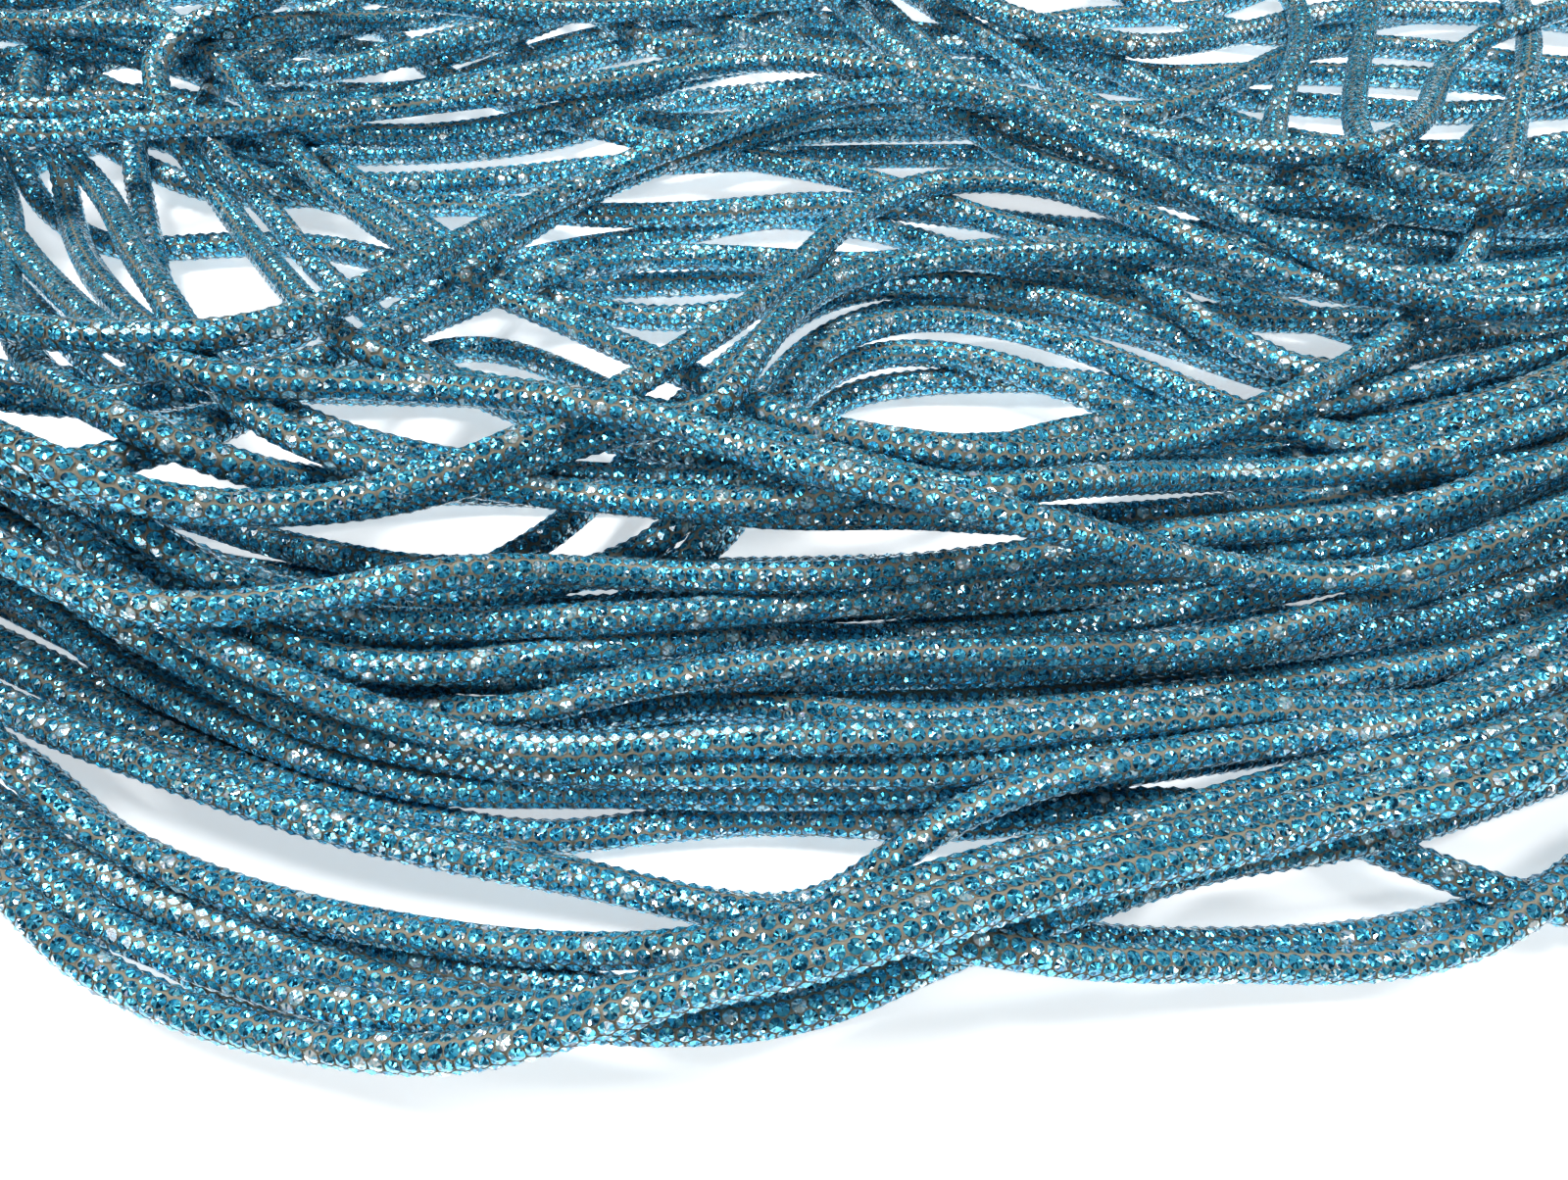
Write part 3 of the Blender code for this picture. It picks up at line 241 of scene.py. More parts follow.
         [(20.2, 23), (16, 23.6), (12, 23.4), (8.5, 23.7), (6, 24.9), (4.5, 26.5), (2.5, 27.8),
          (0.5, 28.9), (-1.5, 30), (-4, 31.8), (-9, 33.6), (-15, 33.2), (-19.5, 30.2)]),
    Turn("left_upper",
         [(-19.5, 27), (-18, 24.7), (-17, 22.6), (-16, 20.9), (-14.6, 19.3), (-13.2, 18.1),
          (-11.5, 16.9), (-10, 15.9), (-8.5, 15.3), (-6.5, 14.8), (-4, 14.5), (0, 14.35), (2.5, 14.3),
          (5, 14.55), (7, 14.65), (10, 14.9), (13, 15.6), (16.3, 17), (23.8, 19.5), (30.6, 23.5)],
         [(27.4, 28.5), (21, 30.8), (17.5, 31.2), (15, 31.2), (12, 30), (9.5, 29.4), (7, 30.4),
          (4, 32.3), (-1, 33), (-6, 31.2), (-9, 29.9), (-11, 28.8), (-13, 28.2), (-16, 28.4),
          (-19.5, 29.4), (-23, 30.3), (-26, 28.9), (-24.5, 27.3), (-20.5, 26.9), (-18.6, 25.9)]),
    Turn("left_third",
         [(-17.3, 24.5), (-16.1, 22.9), (-15.2, 21.3), (-14.1, 19.8), (-12.8, 18.2), (-11.5, 16.9),
          (-10, 16), (-8.5, 15.4), (-6.5, 14.9), (-4, 14.5), (-1.5, 14.3), (1, 14.45), (3.5, 15),
          (6, 15.7), (8, 16.1), (11, 16), (14, 15.2), (17, 15.6), (25.6, 17.5), (31.6, 22), (28.4, 27)],
         [(20, 28.4), (17, 29.2), (14, 29.3), (11, 27.5), (9, 26.5), (6, 26.9), (3, 28.1), (0, 28.8),
          (-3, 28), (-6, 26.5), (-9, 25.7), (-13, 25.9), (-17, 26.8), (-20.5, 26), (-25.2, 20),
          (-20.2, 14.5)]),
    Turn("fork",
         [(-17.8, 11), (-14.3, 10.1), (-13, 9.45), (-11, 8.75), (-9, 8.05), (-7, 7.45), (-5, 7),
          (-3, 6.6), (-1, 6.1), (1, 5.85), (3, 5.59), (5, 5.34), (7, 5.33), (9, 5.3), (11, 5.7),
          (13, 6.75), (16.8, 8.6), (25.1, 12), (32.6, 16.5), (31.1, 20.5)],
         [(24.7, 22.6), (18.5, 22.7), (15, 22.9), (12.3, 24.2), (12.4, 26.3), (13.2, 28.5),
          (13.9, 30.3), (13.5, 32.8), (8, 34.5), (-1, 34.5), (-10, 34), (-15, 34.9), (-18.4, 34),
          (-18.2, 32), (-16.5, 30.2)]),
    Turn("left_cross",
         [(-14.6, 28.2), (-13.2, 26.4), (-11.7, 24.6), (-10.2, 23), (-9, 22), (-8, 21.2), (-7, 20.4),
          (-6, 19.7), (-5, 19.1), (-4, 18.4), (-3, 17.8), (-2, 17.2), (-1, 16.6), (0.5, 15.8),
          (3, 15.3), (5, 15.2), (7, 15.4), (9, 15.95), (11, 16.8), (13, 18.1), (14.8, 19.6),
          (16.2, 21.5), (17.3, 23.6), (18.6, 26.5), (20.3, 30), (20, 33)],
         [(14, 35), (6, 35), (-1, 33.5), (-6, 32), (-10, 30.8), (-13, 30.4), (-16, 30), (-19.5, 30.5),
          (-27.5, 28), (-31.1, 20.5), (-23, 15.6)]),
    Turn("fifth_row",
         [(-16, 13.8), (-14.5, 12.9), (-12, 11.9), (-10, 11.85), (-8, 12.1), (-6, 12.45), (-3, 12.45),
          (-1, 12.45), (2, 12.6), (4, 12.8), (6, 13), (9, 13.3), (12, 13.8), (15, 15.1), (21.2, 17),
          (25.9, 20)],
         [(21.7, 23), (16.5, 23.4), (14.6, 24.6), (14.4, 26.3), (14.9, 28.3), (15.6, 30.3),
          (16.4, 33), (13, 35.5), (5, 36), (-4, 35.5), (-12, 33), (-16.5, 29.5), (-15.5, 26.5)]),
    Turn("left_fan",
         [(-13.5, 23.6), (-12, 21.6), (-10.7, 20), (-9.3, 18.6), (-7.5, 17.7), (-5.5, 17.1),
          (-3.5, 16.6), (-1.5, 16), (0, 15.5), (1.5, 15.1), (3.5, 14.6), (6, 14.9), (9, 15),
          (12, 15.2), (15, 16.1), (22.6, 18), (30.7, 22.5), (30.5, 28)],
         [(24, 31), (20, 30.2), (17.5, 28.2), (16.5, 26.3), (15, 25), (12, 24.7), (9, 25.4),
          (6, 27.2), (3, 28.6), (-1, 29), (-5, 27.7), (-9, 26.8), (-13, 26.4), (-17, 26.1),
          (-26.1, 23.5), (-29.5, 17), (-24.4, 12)]),
    Turn("edge_third",
         [(-15.7, 10.3), (-13.3, 8.7), (-12, 7.55), (-10, 6.45), (-8, 5.8), (-6, 5.4), (-4, 5.15),
          (-2, 5.2), (0, 5.65), (2, 6.3), (4, 6.85), (6, 7.5), (8, 8.2), (10, 8.75), (12, 9.1),
          (14.5, 10), (21.2, 12.8), (25.8, 16.5)],
         [(22.2, 19.8), (16.5, 20.4), (14, 20.4), (11.5, 21.1), (9, 21.5), (6, 21.5), (3, 21.2),
          (1, 20.3), (-0.1, 18.8), (-0.7, 17.4), (-1.3, 16.2), (-3, 15.9), (-4.5, 15.5), (-6, 14.9),
          (-7.5, 14.4), (-9, 14.05), (-11, 13.85), (-14, 14.2), (-20.2, 14.5), (-25.2, 11.5)]),
    Turn("edge_second",
         [(-18.1, 9.5), (-13, 7.5), (-11, 6.05), (-9, 5.3), (-7, 4.75), (-5, 4.5), (-3, 4.75),
          (-1, 5.2), (1, 5.75), (3, 6.5), (6, 7.3), (9, 8), (12, 8.8), (15, 10), (23.5, 12.8),
          (28.7, 17)],
         [(25.2, 20), (17.2, 20.3), (14.5, 20), (12.5, 20.3), (10.5, 21.3), (9, 22.4), (7, 23.7),
          (5, 24.1), (3, 23.8), (1.3, 22.5), (0.2, 20.9), (-1, 19.3), (-2.3, 17.9), (-3.5, 16.7),
          (-5, 15.7), (-7, 14.75), (-9, 14.3), (-12, 14.25), (-15, 15), (-20.7, 16), (-26.1, 19),
          (-24.7, 22.5)]),
    Turn("long_cross",
         [(-19, 22.8), (-16.9, 20.8), (-15.2, 19.3), (-13.5, 18.1), (-11.5, 17.3), (-9, 17),
          (-6, 16.75), (-4, 16.55), (-2, 16.15), (0, 15.4), (2, 14.8), (4, 14.2), (6, 13.5),
          (8, 12.8), (10, 12.5), (12, 12.8), (15, 14), (22.9, 16), (31.1, 20.5), (32.4, 26)],
         [(27, 31), (18, 33), (12, 33.3), (5, 32.5), (0, 31.8), (-6, 31.2), (-11, 31.6), (-16, 32.5),
          (-24.1, 30), (-33.4, 24.5), (-34, 17), (-24.6, 10.8)]),
    Turn("edge_first",
         [(-16.7, 8.9), (-12.7, 6.75), (-11, 5.43), (-9, 4.57), (-7, 4.14), (-5, 3.98), (-3.4, 4.35),
          (-1.5, 4.95), (0, 5.25), (2, 5.85), (4, 6.45), (6, 6.9), (8, 7.4), (10, 7.9), (12, 8.3),
          (15.1, 9.6), (24.4, 12.2), (31.2, 16)],
         [(26.8, 19.2), (18, 19.8), (15.5, 19.75), (13.5, 20.5), (11.5, 22.1), (9.5, 24.1),
          (7.5, 25.9), (5.5, 27.2), (3, 27.75), (0.5, 27.2), (-2, 25.9), (-4, 24.6), (-6, 22.9),
          (-8, 21), (-10, 19.3), (-12, 18.45), (-14, 18.4), (-17, 18.7), (-23.9, 18.6), (-29.6, 16.5)]),
]


@dataclass(frozen=True)
class Viewpoint:
    """Where the photograph was taken from, and how the heap lies before it.

    Attributes:
        height: of the camera over the floor.
        heap_middle: middle of the heap on the floor, from the camera's foot.
        look_down: angle of the camera's axis below the horizon.
        half_width: half the width of the seen floor at the camera's foot.
        spread: by which it grows with the distance.
        far_end: where the seen floor ends.
        margin: over which a place stops to shift towards the camera as it rises.
        lens: focal length, in millimetres on the sensor.
        sensor: the sensor's width in millimetres.
    """

    height: float = 0.186
    heap_middle: tuple[float, float] = (-0.0021, 0.199)
    look_down: float = radians(57.0)
    half_width: float = 0.1037
    spread: float = 0.362
    far_end: float = 0.317
    margin: float = 0.05
    lens: float = 27.07
    sensor: float = 36.0

    def place(self) -> tuple[float, float, float]:
        """The camera's place in the row frame."""
        return (-self.heap_middle[0], -self.heap_middle[1], self.height)


@dataclass(frozen=True)
class LayRules:
    """How the cord settles as it is laid, with the part's own values.

    Attributes:
        step: distance between samples of the line.
        curve_parts: samples on each arc before they are spaced evenly.
        line_ease: reach of the smoothing of the line, in samples.
        height_ease: reach of the smoothing of its heights.
        slide_ease: reach of the smoothing of its sideways slides.
        lowest: height of the plain solid's middle on the floor.
        spacing: between the middles of turns that lie side by side.
        rise: between their heights at a crossing.
        sag_radius: how sharply the cord bends down beside a crossing.
        sag_reach: how many samples on each side of it that counts for.
        slide_limit: how far a stretch may slide off the one below it.
        slide_step: how far it slides at a time for a slope of one.
        steepest: the steepest slope that counts.
        feeler: half the width over which a slope is felt.
        cell: side of a cell of the height field.
        field_corner: its corner on the floor plan.
        field_cells: how many cells it has each way.
        block: samples laid at a time.
        overlap: samples of the block before that may still move.
        freeing: samples over which a block gets free to slide.
        fading: samples over which the last block's slide fades.
        rounds: how often a block is settled.
    """

    step: float = 0.0025
    curve_parts: int = 24
    line_ease: int = 5
    height_ease: int = 8
    slide_ease: int = 20
    lowest: float = 0.00243
    spacing: float = 0.0058
    rise: float = 0.0049
    sag_radius: float = 0.045
    sag_reach: int = 30
    slide_limit: float = 0.002
    slide_step: float = 0.0006
    steepest: float = 2.5
    feeler: float = 0.0015
    cell: float = 0.0005
    field_corner: tuple[float, float] = (-0.46, 0.0)
    field_cells: tuple[int, int] = (1840, 840)
    block: int = 60
    overlap: int = 40
    freeing: float = 15.0
    fading: float = 20.0
    rounds: int = 16


@dataclass
class HeightField:
    """Grid of heights at which the next stretch of the cord would rest.

    Attributes:
        rules: sizes of the grid and of the cord's spacing.
        heights: the grid itself, one value a cell.
    """

    rules: LayRules
    heights: np.ndarray = field(init=False)

    def __post_init__(self) -> None:
        """Start from the bare floor."""
        self.corner = np.array(self.rules.field_corner)
        self.heights = np.full(self.rules.field_cells, self.rules.lowest)

    def raise_under(self, place: np.ndarray, height: float) -> None:
        """Raise the field round one laid sample.

        Args:
            place: the sample's place on the floor plan.
            height: the height of the cord's middle there.
        """
        cell, spacing = self.rules.cell, self.rules.spacing
        span = int(spacing / cell) + 1
        column, row = ((place - self.corner) / cell).round().astype(int)
        x = self.corner[0] + cell * np.arange(column - span, column + span + 1) - place[0]
        y = self.corner[1] + cell * np.arange(row - span, row + span + 1) - place[1]
        left = 1 - (x[:, None]**2 + y[None, :]**2) / spacing**2
        dome = np.where(left > 0, height + self.rules.rise * np.sqrt(np.maximum(left, 0)), 0)
        patch = self.heights[column - span:column + span + 1, row - span:row + span + 1]
        np.maximum(patch, dome, out=patch)

    def under(self, places: np.ndarray) -> np.ndarray:
        """Heights at which samples rest.

        Args:
            places: the samples' places on the floor plan.

        Returns:
            One height for each place, read between the cells.
        """
        at = (places - self.corner) / self.rules.cell
        low = np.floor(at).astype(int)
        u, v = (at - low).T
        i, j = low.T
        near = self.heights[i, j] * (1 - u) + self.heights[i + 1, j] * u
        far = self.heights[i, j + 1] * (1 - u) + self.heights[i + 1, j + 1] * u
        return near * (1 - v) + far * v


def spaced_evenly(line: np.ndarray, step: float) -> np.ndarray:
    """Resample a line.

    Args:
        line: points in a row, of two or three coordinates.
        step: wanted distance between the new points.

    Returns:
        Points on the line, one step apart.
    """
    pieces = np.linalg.norm(np.diff(line, axis=0), axis=1)
    length = np.concatenate([[0.0], np.cumsum(pieces)])
    at = np.linspace(0.0, length[-1], round(length[-1] / step) + 1)
    return np.column_stack([np.interp(at, length, line[:, axis]) for axis in range(line.shape[1])])


def softened(values: np.ndarray, reach: int) -> np.ndarray:
    """Bell-shaped moving average.

    Args:
        values: a row of numbers, or of points.
        reach: how many neighbours on each side count.

    Returns:
        As many values, averaged.
    """
    bell = np.hanning(2 * reach + 3)[1:-1]
    if values.ndim == 1:
        return np.convolve(np.pad(values, reach, mode="edge"), bell / bell.sum(), mode="valid")
    return np.column_stack([softened(column, reach) for column in values.T])


@dataclass
class CordLay:
    """The cord's middle line in the heap.

    Attributes:
        turns: the turns, bottom first.
        view: the viewpoint that their places are seen from.
        rules: how a stretch settles.
    """

    turns: list[Turn]
    view: Viewpoint = Viewpoint()
    rules: LayRules = LayRules()

    def smooth_line(self) -> np.ndarray:
        """Centripetal Catmull-Rom line through all places.

        Returns:
            Points a step apart on the floor, as seen from the viewpoint.
        """
        places = np.array([place for turn in self.turns for place in turn.front + turn.back]) * CM
        ends = np.vstack([2 * places[0] - places[1], places, 2 * places[-1] - places[-2]])
        u = np.linspace(0.0, 1.0, self.rules.curve_parts, endpoint=False)[:, None]
        arcs = []
        for a, b, c, d in zip(ends[:-3], ends[1:-2], ends[2:-1], ends[3:]):
            before, here, after = (np.linalg.norm(q - p) ** 0.5 for p, q in ((a, b), (b, c), (c, d)))
            leave = here * ((b - a) / before - (c - a) / (before + here)) + (c - b)
            arrive = here * ((d - c) / after - (d - b) / (here + after)) + (c - b)
            arcs.append((2 * u**3 - 3 * u**2 + 1) * b + (u**3 - 2 * u**2 + u) * leave
                        + (3 * u**2 - 2 * u**3) * c + (u**3 - u**2) * arrive)
        return spaced_evenly(np.vstack(arcs + [places[-1:]]), self.rules.step)

    def sagged(self, need: np.ndarray) -> np.ndarray:
        """Let the cord bend over its high places and hang down beside them.

        Args:
            need: the height that each sample can't lie below.

        Returns:
            The height of each sample.
        """
        heights = need.copy()
        for k in range(1, min(self.rules.sag_reach, len(need) - 1) + 1):
            drop = (k * self.rules.step)**2 / (2 * self.rules.sag_radius)
            heights[k:] = np.maximum(heights[k:], need[:-k] - drop)
            heights[:-k] = np.maximum(heights[:-k], need[k:] - drop)
        return heights

    def pull_to_viewpoint(self, seen: np.ndarray) -> np.ndarray:
        """How strongly a place shifts towards the viewpoint's foot as it rises.

        Args:
            seen: places on the floor as seen from the viewpoint.

        Returns:
            Share of a place's distance for each metre of height, none well outside the view.
        """
        view = self.view
        x, y = seen.T
        edge = view.half_width + view.spread * y + view.margin
        inside = np.clip((edge - np.abs(x)) / view.margin, 0, 1)
        before_end = np.clip((view.far_end + view.margin - y) / view.margin, 0, 1)
        return softened(inside * before_end, 2 * self.rules.line_ease) / view.height

    def middle_line(self) -> np.ndarray:
        """Lay the whole cord, each stretch settled on what was laid before it.

        Returns:
            Points a step apart along the cord's middle, in the row frame.
        """
        rules = self.rules
        seen = softened(self.smooth_line(), rules.line_ease)
        pull = self.pull_to_viewpoint(seen)
        along = np.gradient(seen, axis=0)
        along /= np.linalg.norm(along, axis=1)[:, None]
        side = np.column_stack([-along[:, 1], along[:, 0]])
        count = len(seen)
        height = np.full(count, rules.lowest)
        need = np.full(count, rules.lowest)
        slide = np.zeros(count)
        ground = HeightField(rules)
        laid = 0
        for start in range(0, count, rules.block):
            low, high = max(0, start - rules.overlap), min(count, start + rules.block)
            before = max(0, low - rules.sag_reach)
            freedom = np.clip(np.arange(high - low) / rules.freeing, 0, 1) if low else np.ones(high - low)
            if start:
                slide[start:high] = slide[start - 1] * np.exp(-np.arange(high - start) / rules.fading)
            now = slice(low, high)
            for _ in range(rules.rounds):
                line = seen[now] * (1 - height[now] * pull[now])[:, None] + slide[now, None] * side[now]
                need[now] = ground.under(line)
                rise = (ground.under(line + rules.feeler * side[now])
                        - ground.under(line - rules.feeler * side[now]))
                slope = np.clip(rise / (2 * rules.feeler), -rules.steepest, rules.steepest)
                push = rules.slide_step * freedom * softened(slope, rules.slide_ease)
                slide[now] = np.clip(slide[now] - push, -rules.slide_limit, rules.slide_limit)
                settled = softened(self.sagged(need[before:high]), rules.height_ease)[low - before:]
                height[now] = (height[now] + settled) / 2
            stop = count if high == count else high - rules.overlap
            for k in range(laid, stop):
                place = seen[k] * (1 - height[k] * pull[k]) + slide[k] * side[k]
                ground.raise_under(place, height[k])
            laid = stop
        height = softened(height, rules.height_ease)
        flat = seen * (1 - height * pull)[:, None] + softened(slide, rules.slide_ease)[:, None] * side
        return np.column_stack([flat - self.view.heap_middle, height])


@dataclass
class CordLine:
    """Middle line of the round cord with its directions.

    Attributes:
        points: the line's points, evenly spaced.
        lift: how far the round cord's middle lies above the plain solid's.
        seam_side: angle round the cord that the seam wanders about, straight up.
        slow_twist: how far it wanders over a slow wave.
        slow_wave: length of that wave.
        slow_start: where on that wave the cord starts.
        quick_twist: how far it wanders over a quick wave.
        quick_wave: length of that wave.
        quick_start: where on that wave the cord starts.
    """

    points: np.ndarray
    lift: float = 0.57 * MM
    seam_side: float = pi / 2
    slow_twist: float = 0.85
    slow_wave: float = 2.3
    slow_start: float = 0.4
    quick_twist: float = 0.35
    quick_wave: float = 0.61
    quick_start: float = 1.1

    def __post_init__(self) -> None:
        """Work out the length along the line and the directions at each point."""
        self.points = self.points + np.array([0.0, 0.0, self.lift])
        pieces = np.linalg.norm(np.diff(self.points, axis=0), axis=1)
        self.along = np.concatenate([[0.0], np.cumsum(pieces)])
        self.length = float(self.along[-1])
        ahead = np.gradient(self.points, axis=0)
        self.ahead = ahead / np.linalg.norm(ahead, axis=1)[:, None]
        side = np.cross([0.0, 0.0, 1.0], self.ahead)
        self.side = side / np.linalg.norm(side, axis=1)[:, None]

    def at(self, s: np.ndarray) -> tuple[np.ndarray, np.ndarray, np.ndarray, np.ndarray]:
        """Place and directions at lengths along the cord.

        Args:
            s: lengths from the cord's start.

        Returns:
            The places, and the unit directions ahead, to the side and up, square to each other.
        """
        def between(values: np.ndarray) -> np.ndarray:
            return np.column_stack([np.interp(s, self.along, values[:, axis]) for axis in range(3)])

        ahead = between(self.ahead)
        ahead /= np.linalg.norm(ahead, axis=1)[:, None]
        side = between(self.side)
        side -= (side * ahead).sum(1)[:, None] * ahead
        side /= np.linalg.norm(side, axis=1)[:, None]
        return between(self.points), ahead, side, np.cross(ahead, side)

    def twist(self, s: np.ndarray) -> np.ndarray:
        """Angle at which the seam lies round the cord, in radians."""
        return (self.seam_side + self.slow_twist * np.sin(TAU * s / self.slow_wave + self.slow_start)
                + self.quick_twist * np.sin(TAU * s / self.quick_wave + self.quick_start))


class Nodes:
    """Short calls for a node tree: make nodes, set their values and join them."""

    def __init__(self, tree: bpy.types.NodeTree) -> None:
        """Keep the tree that the nodes go into."""
        self.tree = tree

    def add(self, kind: str, links: dict | None = None, **values: object) -> bpy.types.Node:
        """Make a node.

        Args:
            kind: the node's type, without the ShaderNode in front.
            links: sockets to feed, from an output socket or to a plain value.
            values: the node's own properties.

        Returns:
            The new node.
        """
        node = self.tree.nodes.new(kind if kind.startswith("NodeGroup") else "ShaderNode" + kind)
        for name, value in values.items():
            setattr(node, name, value)
        for name, value in (links or {}).items():
            socket = node.inputs[name]
            if isinstance(value, bpy.types.NodeSocket):
                self.tree.links.new(value, socket)
            else:
                socket.default_value = value
        return node

    def math(self, operation: str, *terms: object) -> bpy.types.NodeSocket:
        """A Math node's result, from sockets or numbers."""
        node = self.add("Math", operation=operation)
        for socket, term in zip(node.inputs, terms):
            if isinstance(term, bpy.types.NodeSocket):
                self.tree.links.new(term, socket)
            else:
                socket.default_value = term
        return node.outputs[0]

    def mix(self, share: object, first: object, second: object) -> bpy.types.NodeSocket:
        """A colour between two colours.

        Args:
            share: how much of the second colour, a socket or a number.
            first: a colour socket, or red, green and blue.
            second: likewise.

        Returns:
            The colour socket.
        """
        node = self.add("Mix", data_type="RGBA")
        for index, value in ((0, share), (6, first), (7, second)):
            socket = node.inputs[index]
            if isinstance(value, bpy.types.NodeSocket):
                self.tree.links.new(value, socket)
            elif index:
                socket.default_value = (*value, 1.0)
            else:
                socket.default_value = value
        return node.outputs[2]

    def ramp(self, value: bpy.types.NodeSocket, *stops: tuple[float, Colour]) -> bpy.types.NodeSocket:
        """A colour read from a ramp of stops, each a position and a colour."""
        node = self.add("ValToRGB", {"Fac": value})
        elements = node.color_ramp.elements
        while len(elements) < len(stops):
            elements.new(1.0)
        for element, (position, colour) in zip(elements, stops):
            element.position = position
            element.color = (*colour, 1.0)
        return node.outputs["Color"]


class Effects:
    """Node groups that more than one material uses, with the numbers that shape them."""

    ZIGZAG = 0.3            # depth of the facets' points, in units of the stone's corners
    STONE_APART = 997.0     # sets one stone's random numbers apart from the next one's
    STONE_LUCK = 0.3        # by which some stones get more painted glints than others
    RIM_SHADE_START = 0.88       # share of the girdle at which the painted rim shade starts
    THREAD_SHARE = 0.7      # of the ground's height, the rest being fuzz
    FUZZ_SCALE = 2600.0     # of the fuzz on the threads, in waves a metre
    SOIL_SCALE = 60.0       # of the patches that are darker

    def __init__(self) -> None:
        """Make each group once."""
        self.cut = self.cut_group()
        self.weave = self.weave_group()

    @staticmethod
    def new_group(name: str, inputs: dict[str, tuple[str, float]], outputs: dict[str, str]) -> tuple:
        """Make an empty group.

        Args:
            name: the group's name.
            inputs: socket name to its type and default number.
            outputs: socket name to its type.

        Returns:
            The group, its node maker, its input node and its output node.
        """
        group = bpy.data.node_groups.new(name, "ShaderNodeTree")
        for socket, (kind, default) in inputs.items():
            made = group.interface.new_socket(name=socket, in_out="INPUT", socket_type="NodeSocket" + kind)
            made.default_value = default
        for socket, kind in outputs.items():
            group.interface.new_socket(name=socket, in_out="OUTPUT", socket_type="NodeSocket" + kind)
        nodes = Nodes(group)
        return group, nodes, nodes.add("NodeGroupInput"), nodes.add("NodeGroupOutput")

    def cut_group(self) -> bpy.types.NodeTree:
        """Facets of a round cut stone, seen from above, with painted light and shade on the facets, painted
        glints and painted shade round the rim, and the normals that they throw light by.

        The attribute cut_place runs over each stone in units of its corners' radius.

        Returns:
            A group with outputs for the painted facet light and shade, the painted glints and their tint,
            the stone's tone, the painted rim shade, the setting and the normal.
        """
        group, nodes, given, out = self.new_group(
            "cut_stone_facets_with_painted_light",
            {"Facets": ("Float", 12.0), "Rings": ("Float", 2.4), "Lean": ("Float", 0.5),
             "Painted Glint Share": ("Float", 0.12), "Girdle": ("Float", 0.864)},
            {"Light": "Float", "Painted Glint": "Float", "Painted Glint Tint": "Float", "Tint": "Float", "Rim Shade": "Float",
             "Setting": "Float", "Normal": "Vector"})
        stone = nodes.add("Attribute", attribute_name="stone_draw").outputs["Fac"]
        place = nodes.add("Attribute", attribute_name="cut_place").outputs["Vector"]
        parts = nodes.add("SeparateXYZ", {"Vector": place})
        reach = nodes.add("VectorMath", {0: place}, operation="LENGTH").outputs["Value"]
        share = nodes.math("ADD", stone, nodes.math("DIVIDE", nodes.math(
            "ARCTAN2", parts.outputs["Y"], parts.outputs["X"]), TAU))
        round_way = nodes.math("MULTIPLY", share, given.outputs["Facets"])
        zigzag = nodes.math("MULTIPLY", nodes.math("PINGPONG", round_way, 0.5), self.ZIGZAG)
        ring = nodes.math("FLOOR", nodes.math("MULTIPLY", nodes.math("ADD", reach, zigzag),
                                              given.outputs["Rings"]))
        sector = nodes.math("FLOOR", nodes.math("ADD", round_way, nodes.math("MULTIPLY", ring, 0.5)))
        apart = nodes.math("MULTIPLY", stone, self.STONE_APART)
        facet = nodes.add("CombineXYZ", {"X": sector, "Y": ring, "Z": apart})
        # Random draws of each facet pick its painted light or shade, its painted glint and the glint's
        # tint.
        draw = nodes.add("TexWhiteNoise", {"Vector": facet.outputs["Vector"]}, noise_dimensions="3D")
        draws = nodes.add("SeparateColor", {"Color": draw.outputs["Color"]})
        # Painted glint: a few random facets, more on some stones, are marked to be painted near white.
        luck = nodes.math("MULTIPLY", nodes.math("SUBTRACT", stone, 0.5), self.STONE_LUCK)
        painted_glint = nodes.math("GREATER_THAN", nodes.math("ADD", draws.outputs["Green"], luck),
                           nodes.math("SUBTRACT", 1.0, given.outputs["Painted Glint Share"]))
        # Painted shade: the stone's colour darkens towards its rim.
        rim_shade_start = nodes.math("MULTIPLY", given.outputs["Girdle"], self.RIM_SHADE_START)
        edge = nodes.add("MapRange", {"Value": reach, "From Min": rim_shade_start,
                                      "From Max": given.outputs["Girdle"]}).outputs["Result"]
        setting = nodes.math("GREATER_THAN", reach, given.outputs["Girdle"])
        spread = nodes.add("VectorMath", {0: draw.outputs["Color"], 1: (0.5, 0.5, 0.5)},
                           operation="SUBTRACT").outputs[0]
        lean = nodes.add("VectorMath", {0: spread, "Scale": nodes.math(
            "MULTIPLY", given.outputs["Lean"], nodes.math("SUBTRACT", 1.0, setting))},
            operation="SCALE").outputs[0]
        leaned = nodes.add("VectorMath", {0: nodes.add("NewGeometry").outputs["Normal"], 1: lean},
                           operation="ADD").outputs[0]
        normal = nodes.add("VectorMath", {0: leaned}, operation="NORMALIZE").outputs[0]
        for name, socket in (("Light", draw.outputs["Value"]), ("Painted Glint", painted_glint),
                             ("Painted Glint Tint", draws.outputs["Blue"]), ("Tint", stone), ("Rim Shade", edge),
                             ("Setting", setting), ("Normal", normal)):
            group.links.new(socket, out.inputs[name])
        return group

    def weave_group(self) -> bpy.types.NodeTree:
        """Fine threads of the cord's ground.

        Returns:
            A group with outputs Thread, Soil and Height.
        """
        group, nodes, given, out = self.new_group(
            "ground_threads",
            {"Thread Pitch": ("Float", 0.35 * MM)},
            {"Thread": "Float", "Soil": "Float", "Height": "Float"})
        place = nodes.add("TexCoord").outputs["Object"]
        fineness = nodes.math("DIVIDE", 1.0, given.outputs["Thread Pitch"])
        cells = nodes.add("TexVoronoi", {"Vector": place, "Scale": fineness})
        fuzz = nodes.add("TexNoise", {"Vector": place, "Scale": self.FUZZ_SCALE, "Detail": 2.0})
        patches = nodes.add("TexNoise", {"Vector": place, "Scale": self.SOIL_SCALE, "Detail": 3.0})
